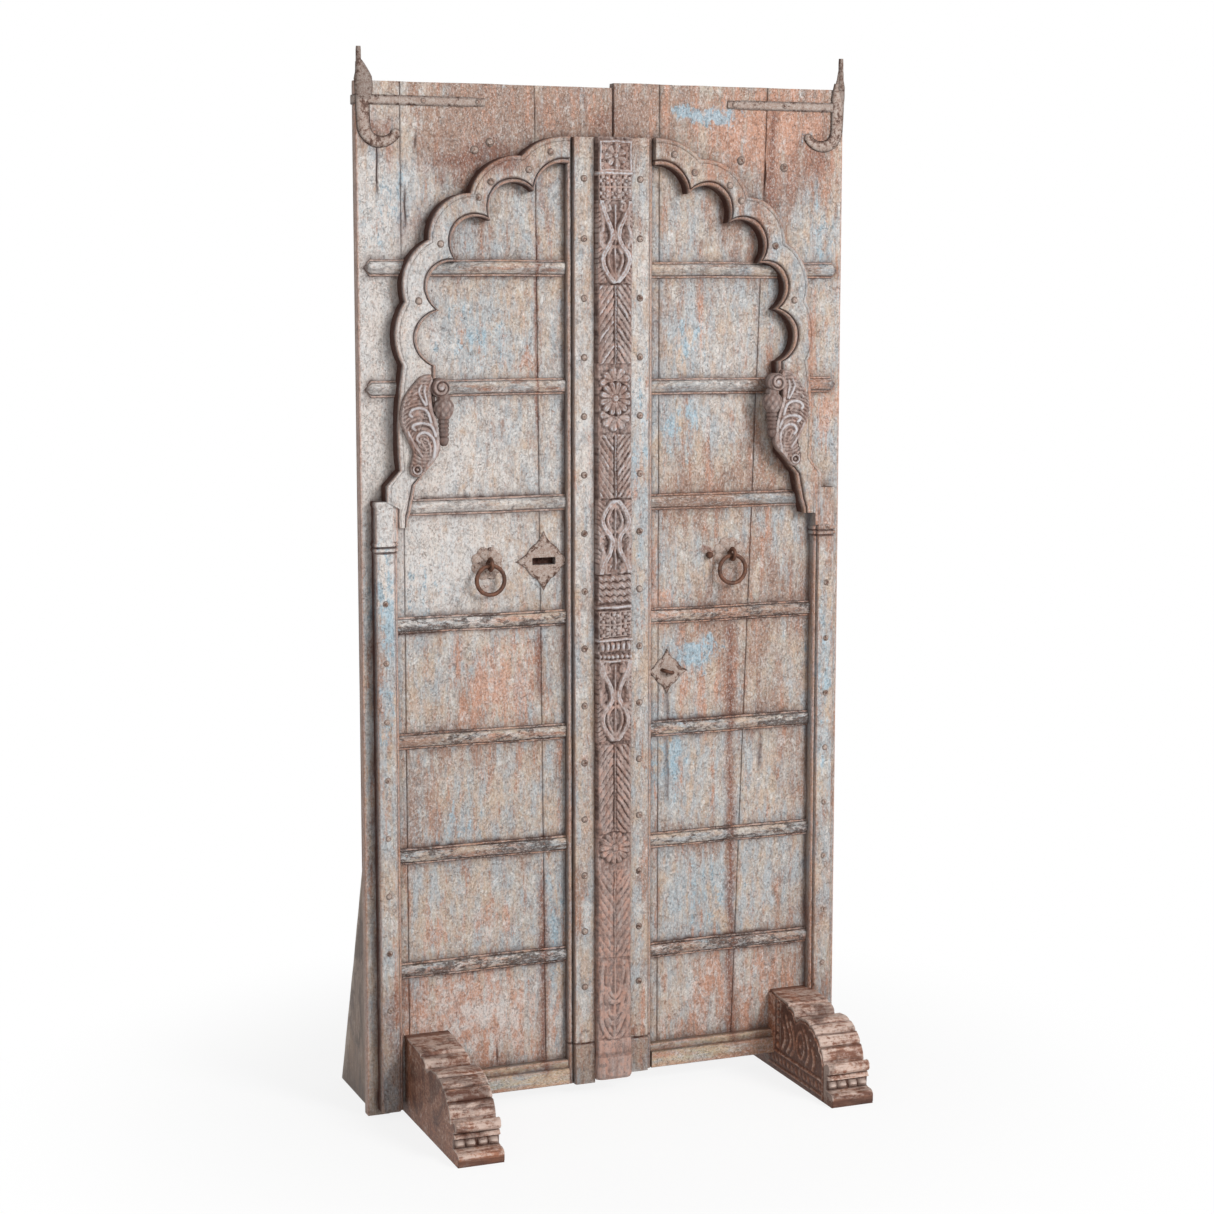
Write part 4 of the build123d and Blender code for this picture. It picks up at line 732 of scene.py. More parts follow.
railLook = {"profile": [(0.0, -2, 0.9, 0), (0.0, 8, 0.8, 0), (0.01, 21, 0.5, 0.4), (0.05, 24, 0.15, 0.8),
                        (0.4, 24.2, 0.05, 0.1), (0.66, 24, 0.15, 0.6), (0.69, 21, 0.7, 0), (0.70, 16.2, 0.85, 0),
                        (0.74, 16, 0.6, 0.2), (0.92, 16, 0.3, 0.5), (0.98, 14.5, 0.3, 0.8), (1.0, 10, 0.8, 0),
                        (1.0, -2, 0.9, 0)]}
for sideName, side in sides.items():
    bm = newPiece()
    low, high = boxOf(sideName + "_bottom_rail")
    ends = sorted((abs(low.x), abs(high.x)))
    stations = np.linspace(ends[0] + 0.2, ends[1] - 0.2, 90)

    def railSpot(across, run):
        z = low.z + 0.3 + across * (high.z - low.z - 0.6) + ripple(run, 0, 0, 120, 6.0) * 1.2 * (across > 0.5)
        return side * run, z, 1.0, 0.0
    makeRun(bm, railLook["profile"], stations, railSpot, 41.0 + side, wobble=0.6, chip=1.5)
    finishPiece(bm, sideName + "BottomRail", railPaint, [sideName + "_bottom_rail"], soilsAndShadesPlanks=True)
print("strips, columns, battens and rails made")


# carved centre post: one sheet whose height is worked out motif by motif

postLook = {
    "centre": -3.5, "half": 36, "foot": 30, "proud": 41, "relief": 9.2,
    "panel": (1819, 1880), "topFlorets": (1767, 1815), "upperRibbons": (1609, 1766), "upperFeather": (1456, 1606),
    "upperRosette": 1388, "hangingFeather": (1196, 1320), "middleRibbons": (1048, 1192), "waves": (990, 1046),
    "midFlorets": (923, 974), "dentils": (876, 914), "lowerRibbons": (716, 874), "lowerFeather": (531, 710),
    "lowerRosette": 503, "wornFeather": (280, 458), "sprays": (112, 274), "collar": (78, 111),
    "fillets": (1817, 982, 918, 876),
}


def featherCarving(x, z, low, high, count, lean):
    wide = np.abs(x)
    pitch = (high - low) / count
    steps = (z - low - lean * wide * 1.05 - 0.06 * lean * wide ** 1.5) / pitch
    part = steps - np.floor(steps)
    odd = ripple(np.floor(steps) * 3.7, np.sign(x) * 5.1, 0, 1.3, 2.0)
    part = part if lean > 0 else 1 - part
    blade = ridge(part - 0.58, 0.56) * (0.45 + 0.55 * part) * (1 + 0.5 * odd)
    blade = (blade * np.clip((35 - wide) / 2.5, 0, 1) * np.clip((wide - 2.6) / 2, 0, 1)
             * (0.85 + 0.15 * np.sin(wide * 0.5) ** 2))
    blade = blade * (0.9 + 0.35 * ripple(x, 0, z, 14, 6.0))
    stem = ridge(wide, 2.0) * (0.85 + 0.15 * np.sin(z * 0.9))
    return np.maximum(0.9 * blade, stem)


def rosetteCarving(x, z, petals, radius):
    far, turn = np.hypot(x, z), np.arctan2(z, x)
    part = (turn / (2 * math.pi) * petals) % 1 - 0.5
    end = radius * (1 - 0.8 * part ** 2)
    petal = ridge(part, 0.50) * np.clip((far - radius * 0.22) / 2, 0, 1) * np.clip((end - far) / 2.5, 0, 1)
    petal = (petal * (0.65 + 0.35 * np.clip(far / radius, 0, 1))
             - 0.3 * ridge(part, 0.12) * (far > radius * 0.35) * (far < end - 2))
    boss = ridge(far, radius * 0.24) * (1 - 0.4 * ridge(far, radius * 0.09))
    return np.maximum(petal, boss)


def floretCarving(x, z, low, high, across, up):
    wide, tall = 68 / across, (high - low) / up
    fx, fz = (((x + 34) / wide) % 1 - 0.5) * wide, (((z - low) / tall) % 1 - 0.5) * tall
    leafy = ridge(np.minimum(wide / 2 - np.abs(fx), tall / 2 - np.abs(fz)), 2.6) * 0.55
    return np.maximum(rosetteCarving(fx, fz, 5, 0.54 * min(wide, tall)), leafy) * (np.abs(x) < 34)


def band(x, z, points, width, scale):     # a broad carved band with a shallow line along it
    far = toLine(x, z, [(a, b * scale) for a, b in points])
    return np.clip(1.15 * ridge(far, width), 0, 1) - 0.10 * ridge(far, width * 0.25)


def ribbonCarving(x, z, low, high, turn):
    # turn 1 points down, -1 points up
    tall = high - low
    v = (z - low) if turn > 0 else (high - z)
    wide = np.abs(x)
    main = smoothLine([(30, 1.0), (27, 0.92), (19, 0.80), (10, 0.68), (7, 0.56), (12, 0.47), (23, 0.37), (27, 0.27),
                       (21, 0.16), (9, 0.05), (0, -0.01)], 6)
    outer = smoothLine([(33, 0.95), (27, 0.82), (26, 0.70), (31, 0.58), (30, 0.49), (22, 0.43)], 6)
    lens = smoothLine([(5, 0.44), (13, 0.36), (15, 0.27), (10, 0.17), (3, 0.09)], 6)
    curl = smoothLine([(12, 0.99), (19, 0.96), (17, 0.88), (11, 0.89), (13, 0.94)], 6)
    # small leaves along the sides, and the bands over them
    height = 0.42 * ridge(((v + 0.8 * wide) / 9.5) % 1 - 0.5, 0.45) * (wide > 20) + 0.10
    for line, width, strength in ((main, 6.2, 1), (outer, 4.6, 0.8), (lens, 3.4, 0.7), (curl, 3.4, 0.75)):
        height = np.maximum(height, strength * band(wide, v, line, width, tall))
    pocket = ridge(toLine(wide, v, [(17, 0.64 * tall), (18, 0.54 * tall)]), 6)
    height = height * (1 - 0.9 * pocket * (height < 0.6))
    return np.maximum(height, 0.75 * ridge(wide, 2.6) * (v < 0.95 * tall))


def sprayCarving(x, z, low, high):
    tall = high - low
    v, wide = z - low, np.abs(x)
    height = 0.7 * ridge(wide, 3.0)
    for foot, top, out in ((0.0, 0.40, 31), (0.20, 0.66, 32), (0.46, 0.98, 30)):
        line = smoothLine([(2, foot), (out * 0.45, foot + 0.05), (out * 0.9, foot * 0.5 + top * 0.5),
                           (out * 0.8, top), (out * 0.5, top - 0.04)], 6)
        inner = smoothLine([(2, foot + 0.07), (out * 0.35, foot + 0.15), (out * 0.62, top - 0.13),
                            (out * 0.55, top - 0.08)], 6)
        height = np.maximum(height, 0.8 * band(wide, v, line, 5.4, tall))
        height = np.maximum(height, 0.6 * band(wide, v, inner, 4.0, tall))
    return height


def panelCarving(x, z, low, high):
    middle = z - (low + high) / 2
    frameLine = ridge(np.minimum(33 - np.abs(x), np.minimum(z - low - 2, high - 2 - z)) - 1.5, 2.6)
    florets = floretCarving(x, z, low, high, 4, 4) * (np.hypot(x, middle) > 22)
    return np.maximum.reduce([0.8 * frameLine, 0.9 * rosetteCarving(x, middle, 7, 24), 0.75 * florets])


def waveCarving(x, z, low, high):
    wave = 0.9 * ridge(((z - low + 1.6 * np.sin(x * 0.42)) / 14) % 1 - 0.5, 0.46)
    return wave * (0.75 + 0.25 * np.sin(x * 0.9 + z)) * (np.abs(x) < 34.5)


def dentilCarving(x, z, low, high):
    tooth = ridge((x / 11) % 1 - 0.5, 0.46) * ridge(z - high + 9.5, 9.5)
    bead = ridge(np.hypot(((x / 9.5) % 1 - 0.5) * 9.5, z - low - 9), 5.2)
    return np.where(z > (low + high) / 2, tooth, bead) * (np.abs(x) < 34)


def collarCarving(x, z, low, high):
    return 0.75 + 0.25 * ridge(np.abs(x) - 15, 12)


def filletCarving(x, z, low, high):
    return 0.9 * ridge(z - (low + high) / 2, 3.8)


# the motifs of the post: span, carving, strength, what else the carving is told
postMotifs = [("panel", panelCarving, 1, ()), ("topFlorets", floretCarving, 1, (3, 2)),
              ("upperRibbons", ribbonCarving, 1, (1,)), ("upperFeather", featherCarving, 1, (9, -1)),
              ("hangingFeather", featherCarving, 1, (8, 1)), ("middleRibbons", ribbonCarving, 1, (-1,)),
              ("waves", waveCarving, 1, ()), ("midFlorets", floretCarving, 1, (3, 2)),
              ("dentils", dentilCarving, 1, ()), ("lowerRibbons", ribbonCarving, 1, (1,)),
              ("lowerFeather", featherCarving, 1, (10, -1)), ("wornFeather", featherCarving, 0.75, (9, 1)),
              ("sprays", sprayCarving, 0.85, ()), ("collar", collarCarving, 1, ())]


def postHeight(x, z, look):
    height = 0.04 + 0.14 * ripple(x, 0, z, 6, 2.0)
    x, z = x + ripple(x, 0, z, 24, 12.0) * 1.5, z + ripple(x, 0, z, 24, 15.0) * 2.2

    def within(span, carve, strength, more):
        inside = (z >= span[0]) & (z <= span[1])
        height[inside] = np.maximum(height[inside], strength * carve(x[inside], z[inside], *span, *more))
    for key, carve, strength, more in postMotifs:
        within(look[key], carve, strength, more)
    rose = look["upperRosette"]
    for shift in (1, -1):                 # half a flower above and below the upper rosette
        fan = (z - rose) * shift
        spot = (fan > 20) & (fan < 68)
        height[spot] = np.maximum(height[spot], 0.9 * rosetteCarving(x[spot], fan[spot] - 30, 9, 33))
    for level, reach, petals in ((rose, 33, 12), (look["lowerRosette"], 34, 13)):
        spot = np.hypot(x, z - level) < reach
        height[spot] = rosetteCarving(x[spot], z[spot] - level, petals, 33)
    for level in look["fillets"]:
        within((level - 4, level + 4), filletCarving, 1, ())
    return height + 0.16 * ripple(x, 0, z, 4.2, 8.0) + 0.10 * ripple(x, 0, z, 2.4, 3.0)


def spread(table, times, own):            # evens out a table of heights; own is the weight of a spot itself
    for _ in range(times):
        wide = np.pad(table, 1, mode="edge")
        beside = wide[:-2, 1:-1] + wide[2:, 1:-1] + wide[1:-1, :-2] + wide[1:-1, 2:]
        table = (beside + own * table) / (4 + own)
    return table


def makePost(look):
    bm = newPiece()
    columns, rows = 58, 1380
    xs, zs = np.linspace(-1, 1, columns + 1), np.linspace(look["foot"] + 0.3, postTop - 0.3, rows + 1)

    def place(column, row):
        x, z = xs[column] * look["half"], zs[row]
        x, z = x + ripple(x, 0, z, 40, 5.0) * 0.9, z + ripple(x, 0, z, 40, 9.0) * 1.2
        table = np.zeros((rows + 1, columns + 1))
        table[row, column] = postHeight(x, z, look)
        soft = spread(table, 2, 2)
        blur = spread(soft, 14, 1)
        carved = 0.45 * table + 0.55 * soft
        worn = 1 - 0.35 * np.clip((500 - zs) / 400, 0, 1)[:, None]
        height = (carved * worn)[row, column]
        hollow = (blur - carved)[row, column]
        edge = 1 - np.clip((look["half"] - np.abs(xs[column] * look["half"])) / 2.2, 0, 1)
        base = np.clip((82 - zs[row]) / 6, 0, 1)
        foot = 1 - np.clip((zs[row] - 32) / 7, 0, 1)
        proud = look["proud"] + look["relief"] * height * (1 - base) - 3.5 * edge ** 2
        cushion = np.clip(1 - (look["half"] - np.abs(xs[column] * look["half"])) / 13, 0, 1)
        proud = proud * (1 - base) + base * (51 - 8 * cushion ** 2 - 6 * foot ** 2)
        proud = proud + ripple(x, 1, z, 16, 3.0) * 0.35
        # hollows and low ground painted dark: patina with painted shade; high ridges pale: worn paint with a painted
        # highlight
        grimeAndShade = (np.clip(3.0 * hollow + 1.1 * (0.26 - height), 0, 0.95) * (1 - 0.9 * base)
                 + 0.6 * ridge(zs[row] - 82, 5)) * np.interp(zs[row], [0, 450, 600], [0.55, 0.75, 1.0])
        wearAndHighlight = np.clip(0.05 - 2.4 * hollow + 1.1 * (height - 0.55), 0, 1)
        wearAndHighlight = wearAndHighlight * np.interp(zs[row], [0, 500, 900, 1900], [0.25, 0.4, 0.8, 1.0])
        realX = look["centre"] + x * np.where(base > 0, 1.02, 1.0)
        return realX, leafFront - proud, zs[row], grimeAndShade, wearAndHighlight
    gridSheet(bm, columns, rows, place)
    closeBack(bm, leafFront + 1, 0.5)
    finishPiece(bm, "centrePost", carvedWood, ["centre_post"], sharp=75, soilsAndShadesPlanks=True)


makePost(postLook)
print("post carved")


# arch brackets: a leaf with curled ribs, a volute and a turned pendant

bracketLook = {
    "left": 402, "right": 382, "middle": 1335, "wide": 82, "tall": 200, "proud": 44, "relief": 7,
    "leaf": [(0.36, 0.50), (0.30, 0.525), (0.10, 0.505), (-0.05, 0.445), (-0.21, 0.37), (-0.33, 0.29), (-0.38, 0.216),
             (-0.40, 0.142), (-0.39, 0.067), (-0.30, -0.027), (-0.18, -0.131), (-0.11, -0.21), (-0.15, -0.30),
             (-0.18, -0.356), (-0.15, -0.412), (-0.03, -0.44), (0.12, -0.415), (0.31, -0.325), (0.44, -0.275),
             (0.54, -0.20), (0.55, -0.11), (0.52, -0.016), (0.47, 0.079), (0.41, 0.154), (0.36, 0.23), (0.34, 0.304),
             (0.34, 0.379), (0.36, 0.445)],
    # carved lines: half width, height, points
    "lines": [(5.0, 0.80, [(0.35, 0.472), (0.29, 0.379), (0.28, 0.286), (0.32, 0.192), (0.40, 0.098), (0.46, 0.004),
                           (0.48, -0.091), (0.46, -0.184), (0.37, -0.263), (0.22, -0.33)]),
              (3.4, 1.0, [(0.18, 0.24), (0.07, 0.315), (0.03, 0.372), (0.08, 0.423)]),
              (3.2, 0.95, [(0.22, 0.244), (0.19, 0.305), (0.16, 0.362), (0.18, 0.417)]),
              (4.2, 1.0, [(0.31, 0.08), (0.24, 0.165), (0.13, 0.203), (-0.01, 0.212), (-0.13, 0.196), (-0.20, 0.159),
                          (-0.15, 0.135)]),
              (3.2, 0.7, [(-0.10, 0.150), (-0.02, 0.168), (0.06, 0.155), (0.14, 0.118)]),
              (4.2, 1.0, [(0.42, -0.05), (0.35, 0.023), (0.25, 0.057), (0.10, 0.07), (-0.04, 0.064), (-0.14, 0.039),
                          (-0.07, 0.008)]),
              (3.0, 0.7, [(0.34, -0.08), (0.27, -0.018), (0.15, 0.016), (0.02, 0.012)]),
              (4.2, 1.0, [(0.37, -0.249), (0.40, -0.165), (0.37, -0.09), (0.27, -0.037), (0.14, -0.017),
                          (0.02, -0.035), (-0.03, -0.076), (0.03, -0.114)]),
              (3.2, 0.8, [(0.29, -0.211), (0.29, -0.155), (0.23, -0.098), (0.15, -0.078)]),
              (3.0, 0.75, [(0.06, -0.087), (0.12, -0.134), (0.19, -0.186)]),
              (3.4, 0.9, [(0.10, -0.245), (-0.04, -0.165), (-0.14, -0.09), (-0.24, -0.01)]),
              (3.0, 0.8, [(-0.03, 0.30), (-0.13, 0.29), (-0.22, 0.25)]),
              (3.0, 0.8, [(0.0, 0.36), (-0.06, 0.35), (-0.12, 0.33)])],
    "eye": (-0.02, -0.365), "curl": (0.16, -0.10), "volute": (0.53, 0.400), "voluteRadius": 18, "pendant": 0.62,
    "pendantRadius": 20.5, "pendantLong": 100, "pendantProud": 44, "voluteProud": 56,
    "turned": [(0.0, 0), (0.24, 0.0), (0.42, 0.05), (0.50, 0.10), (0.46, 0.15), (0.34, 0.17), (0.48, 0.19),
               (0.52, 0.22), (0.42, 0.25), (0.50, 0.28), (0.52, 0.31), (0.43, 0.335), (0.52, 0.36), (0.54, 0.39),
               (0.45, 0.415), (0.55, 0.44), (0.57, 0.47), (0.50, 0.495), (0.66, 0.52), (0.70, 0.55), (0.84, 0.60),
               (0.96, 0.66), (1, 0.71), (0.97, 0.77), (0.84, 0.83), (0.66, 0.87), (0.70, 0.90), (0.66, 0.94),
               (0.4, 1.0), (0.0, 1.0)],
}


def makeBracket(name, look):
    side = sides[name]
    bm = newPiece()

    def at(share):
        return np.array((look[name] - share[0] * look["wide"], look["middle"] + share[1] * look["tall"]))
    rim = smoothLine([at(p) for p in look["leaf"]], 9, closed=True)
    rim = np.vstack([rim, rim[:1]])
    heart, curl = at((0.05, -0.02)), at(look["curl"])
    lines = [(wide, tall, smoothLine([at(p) for p in points], 5)) for wide, tall, points in look["lines"]]
    rings = 60
    run = np.concatenate([[0], np.cumsum(np.hypot(*np.diff(rim, axis=0).T))])

    def place(column, row):
        share = (row / rings)[:, None] ** 0.8
        spot = heart * (1 - share) + rim[column] * share
        a, b = spot[:, 0], spot[:, 1]
        toRim = np.hypot(*(rim[column] - spot).T)
        upper = np.clip((b - look["middle"] + 20) / 30, 0, 1) * (a > look[name] - 0.05 * look["wide"])
        notch = 0.72 + 0.28 * np.sin(run[column] * 2 * math.pi / 6.8 + toRim * 0.7)
        height = 0.85 * ridge(toRim - 4.2, 3.8) * (upper * notch + (1 - upper) * 0.8)
        # fine veins wind out of the curl
        phase = np.hypot(a - curl[0], b - curl[1]) / 6.5 + np.arctan2(b - curl[1], a - curl[0]) / 2.1
        height = np.maximum(height, 0.16 + 0.30 * ridge(phase % 1 - 0.5, 0.40)) + 0.14 * ripple(a, 0, b, 4.5, 6.0)
        for wide, tall, line in lines:
            height = np.maximum(height, tall * np.clip(1.1 * ridge(toLine(a, b, line), wide), 0, 1))
        eye = np.hypot(a - at(look["eye"])[0], b - at(look["eye"])[1])
        height = np.where(eye < 11, np.maximum(0.95 * ridge(eye - 8, 2.8), 0.9 * ridge(eye, 3.4)), height)
        edge = np.clip(toRim / 2.0, 0, 1)
        # low parts of the leaf painted dark: patina with painted shade; high ribs pale: worn paint with a painted
        # highlight
        low = np.clip(1 - height * 1.6, 0, 1)
        proud = look["proud"] - 3 + look["relief"] * height * edge - 2.0 * (1 - edge) + ripple(a, 0, b, 9, 2.2) * 0.35
        return side * a, leafFront - proud, b, 0.68 * low ** 1.2, np.clip(height * 1.5 - 0.72, 0, 0.85)
    gridSheet(bm, len(rim) - 1, rings, place)
    bmesh.ops.remove_doubles(bm, verts=bm.verts, dist=0.01)
    closeBack(bm, leafFront - 33)
    # volute: a disc with a spiral ridge
    centre = at(look["volute"])
    radius = look["voluteRadius"]
    discSides, discRows = 56, 22

    def voluteSpot(column, row):
        far = radius * row / discRows
        turn = 2 * math.pi * column / discSides
        wave = (far / radius * 2.1 + side * turn / (2 * math.pi)) % 1 - 0.5
        height = np.where(far < 5, ridge(far, 6.5), 0.75 * ridge(wave, 0.42))
        proud = look["voluteProud"] + 5 * height - 7 * np.clip((far - radius + 3) / 3, 0, 1)
        # the spiral's grooves painted dark and its ridge pale: patina with painted shade, worn paint with a painted
        # highlight
        return (side * (centre[0] + far * np.cos(turn)), leafFront - proud, centre[1] + far * np.sin(turn),
                np.clip(0.85 - height, 0.1, 1), np.clip(height * 1.4 - 0.6, 0, 1))
    before = set(bm.verts)
    gridSheet(bm, discSides, discRows, voluteSpot)
    bmesh.ops.remove_doubles(bm, verts=[v for v in bm.verts if v not in before], dist=0.01)
    closeBack(bm, leafFront - 30)
    # pendant, turned, with shallow flutes
    foot = at((look["pendant"], 0))
    footZ = centre[1] - 9.5 - look["pendantLong"]
    turned = denser(look["turned"], 3)
    pendantSides = 48

    def pendantSpot(column, row):
        r, h = turned[row].T
        turn = 2 * math.pi * column / pendantSides
        # scales on the acorn, flutes below it
        lattice = np.abs(np.sin(4 * turn + 16 * h)) * np.abs(np.sin(4 * turn - 16 * h))
        scales = (h > 0.56) & (h < 0.86)
        flute = np.where(scales, 0.90 + 0.10 * np.sqrt(lattice), 1 - 0.07 * np.abs(np.sin(4 * turn)) * (r > 0.40))
        # narrow necks and gaps between scales painted dark, widest turns pale: patina with painted shade, worn paint
        # with a painted highlight
        low = np.where(scales, 0.8 - lattice ** 0.5, np.clip(1.15 - 1.2 * r, 0, 1))
        return (side * foot[0] + look["pendantRadius"] * r * flute * np.cos(turn),
                leafFront - look["pendantProud"] + look["pendantRadius"] * r * flute * np.sin(turn),
                footZ + look["pendantLong"] * h, np.clip(0.25 + 0.7 * low, 0, 1),
                np.where(scales, lattice * 0.5, np.clip(r - 0.48, 0, 1) * 0.9))
    gridSheet(bm, pendantSides, len(turned) - 1, pendantSpot)
    return finishPiece(bm, name + "ArchBracket", carvedWood, [name + "_arch_bracket"],
                       sharp=60, soilsAndShadesPlanks=True)


for sideName in sides:
    makeBracket(sideName, bracketLook)
print("brackets carved")


# planks of the leaves

plankLook = {
    "left": ((0.166, 0.166), (0.720, 0.686)), "right": ((0.473, 0.335), (0.804, 0.804)), "gap": 0.3, "step": 8.5,
    "toe": 43, "wave": 0.55,
    # splits in the boards: x, z low, z high, depth
    "splits": [(-388, 1846, 1900, 5), (-417, 1822, 1944, 5), (-409, 1700, 1800, 3), (-462, 1760, 1900, 2),
               (-236, 60, 128, 4), (372, 1200, 1330, 2), (331, 620, 800, 3), (128, 560, 900, 3),
               (330, 1660, 1860, 2)],
    # the lock's slot: x low, x high, z low, z high, depth
    "slot": (-160, -112, 1067, 1081, 17),
}
bins = [BVHTree.FromPolygons(verts, faces) for verts, faces in mouldings]


def nearestMoulding(spots, reach=70):
    far = np.full(len(spots), float(reach))
    for tree in bins:
        for i, spot in enumerate(spots):
            hit = tree.find_nearest(spot, far[i])
            if hit[3] is not None:
                far[i] = min(far[i], hit[3])
    return far


def makePlank(name, which, look):
    side = sides[name]
    leafWide = halfWidth + parting * (1 if name == "left" else -1)
    inner = parting - 1.5 if name == "left" else parting + 1.5
    seams = [(-halfWidth if name == "left" else halfWidth,) * 2]
    for foot, top in look[name]:
        seams.append((side * (halfWidth - leafWide * foot), side * (halfWidth - leafWide * top)))
    seams.append((inner, inner))
    a, b = seams[which], seams[which + 1]
    bottom, top = liftOf[name] + 0.2, topOf[name] - 0.5
    gapA, gapB = (0 if which == 0 else look["gap"] / 2), (0 if which == 2 else look["gap"] / 2)
    zs = list(np.linspace(bottom, top, int((top - bottom) / look["step"])))
    slot = look["slot"]
    hasSlot = name == "left" and which > 0
    if hasSlot:
        zs += [slot[2] - 0.4, slot[2] + 0.4, slot[3] - 0.4, slot[3] + 0.4]
    zs = np.array(sorted(zs))
    toe = name == "left" and which == 0
    if toe:
        zs = np.concatenate([[2, 9, 16, bottom - 0.1], zs])

    def edges(z):
        t = (z - bottom) / (top - bottom)
        low, high = a[0] + (a[1] - a[0]) * t - side * gapA, b[0] + (b[1] - b[0]) * t + side * gapB
        if toe:
            high = np.where(z < bottom, low + look["toe"], high)
        return low, high
    wide = abs(a[0] - b[0])
    shares = list(np.linspace(0, 1, max(6, int(wide / look["step"]))))
    splits = [s for s in look["splits"] if min(a[0], b[0]) + 8 < s[0] < max(a[0], b[0]) - 8]
    for x, _, _, _ in splits:
        mid = (x - a[0]) / (b[0] - a[0])
        shares = [s for s in shares if abs(s - mid) * wide > 5] + [mid + d / wide for d in (-4, -1.2, 0, 1.2, 4)]
    if hasSlot:
        for x in slot[:2]:
            mid = (x - (a[0] + a[1]) / 2) / ((b[0] + b[1]) / 2 - (a[0] + a[1]) / 2)
            if 0.02 < mid < 0.98:
                shares += [mid - 0.4 / wide, mid + 0.4 / wide]
    shares = np.array(sorted(shares))
    front = [(0, 1.2, 0.75), (0.8 / wide, 0.25, 0.42), (2.8 / wide, 0, 0.12)]
    front += [(s, 0, 0) for s in shares if 6 / wide < s < 1 - 6 / wide]
    front += [(1 - 2.8 / wide, 0, 0.12), (1 - 0.8 / wide, 0.25, 0.42), (1, 1.2, 0.75)]
    back = [(1, 23, 0.7), (1 - 2 / wide, 25, 0.2), (0.75, 25, 0), (0.5, 25, 0), (0.25, 25, 0), (2 / wide, 25, 0.2),
            (0, 23, 0.7)]
    ring = np.array(front + back + front[:1])
    faceCount = len(front)
    bm = newPiece()

    def place(column, row):
        share, depth, dirtAndShade = ring[column].T
        z = zs[row]
        low, high = edges(z)
        x = low + (high - low) * share
        inFront = (column < faceCount) | (column == len(ring) - 1)
        wave = ripple(x, 0, z, (90, 90, 500), 1.0 + which) * 1.4 + ripple(x, 0, z, (20, 20, 160), 4.0) * 0.6
        y = leafFront + depth + look["wave"] * np.where(inFront, wave, -0.4 * wave)
        grimeAndShade = dirtAndShade * (0.75 + 0.55 * ripple(0, 0, z, 45, 3.0 + which))
        for sx, sLow, sHigh, sDeep in splits:
            stray = ripple(0, 0, z, 38, sx * 0.01) * 3.0
            on = inFront & (np.abs(x - sx) < 4.2)
            fade = np.clip((z - sLow) / 30, 0, 1) * np.clip((sHigh - z) / 30, 0, 1)
            hit = on * fade * np.clip(1 - np.abs(x - sx) / 1.25, 0, 1)
            x = x + on * stray
            y = y + hit * sDeep
            grimeAndShade = np.maximum(grimeAndShade, on * fade * np.clip(1 - np.abs(x - stray - sx) / 4, 0, 1) * 0.9)
        if hasSlot:
            # the slot is painted dark inside: painted shade
            inSlot = inFront & (x > slot[0]) & (x < slot[1]) & (z > slot[2]) & (z < slot[3])
            y = y + inSlot * slot[4]
            grimeAndShade = np.maximum(grimeAndShade, inSlot * 1.0)
        end = np.clip((z - (top - 3)) / 3, 0, 1)
        y = y + np.where(inFront, 1.2 * end ** 2, -1.2 * end ** 2)
        z = z + (ripple(x, 0, 0, 60, 2.0) * 0.9 - 0.9) * np.clip((z - top + 40) / 40, 0, 1)
        spots = np.column_stack((x, y, z))
        near = np.ones(len(x)) * 70
        picked = np.where(inFront)[0]
        near[picked] = nearestMoulding(spots[picked])
        # the planks darken towards the mouldings: dirt, and painted contact shade where the mouldings would shade
        # them
        soilAndContactShade = np.exp(-near / 3.2) * 0.80 + np.exp(-near / 15) * 0.24
        grimeAndShade = np.maximum(grimeAndShade, soilAndContactShade * (0.75 + 0.7 * ripple(x, 0, z, (16, 16, 60), 7.0)))
        grimeAndShade = np.maximum(grimeAndShade, 0.15 * np.clip((100 - z) / 90, 0, 1))
        rub = dirtAndShade * 0.5 + 0.9 * (which == 0) * np.clip(1 - (halfWidth - np.abs(x)) / 7, 0, 1)
        return x, y, z, grimeAndShade * (1 - 0.6 * (rub > 0.6)), rub
    gridSheet(bm, len(ring) - 1, len(zs) - 1, place)
    part = ("stile", "wide", "meeting")[which]
    finishPiece(bm, name + part.capitalize() + "Plank", plankPaint, [name + "_" + part + "_plank"],
                sharp=50)


for sideName in sides:
    for number in range(3):
        makePlank(sideName, number, plankLook)
print("planks made")


# nails: hammered domes on a thin rim

nailLook = {"radius": 6.6, "height": 4.4, "bigRadius": 8.2, "bigHeight": 5, "around": 14,
            # from the crown to under the rim: shares of the radius and of the height
            "dome": [(0, 1), (0.3, 0.97), (0.55, 0.85), (0.75, 0.62), (0.9, 0.34), (1.0, 0.16), (1.08, 0.05),
                     (1.08, -0.5)],
            # rows: x, lowest z, pitch, number
            "strip": {"left": (-61.5, 221, 113.3, 15), "right": (54.5, 221, 113.3, 15)},
            "column": {"left": (-464, 217, 113, 8), "right": (464, 217, 113, 9)},
            # shares of the arch and of the leaf
            "arch": [(0.110, 0.958), (0.236, 0.912), (0.453, 0.880), (0.525, 0.840), (0.741, 0.722), (0.8655, 0.578)],
            "spandrel": [(-0.480, 0.9445), (-0.541, 0.9374), (0.557, 0.9322), (0.744, 0.9262)]}


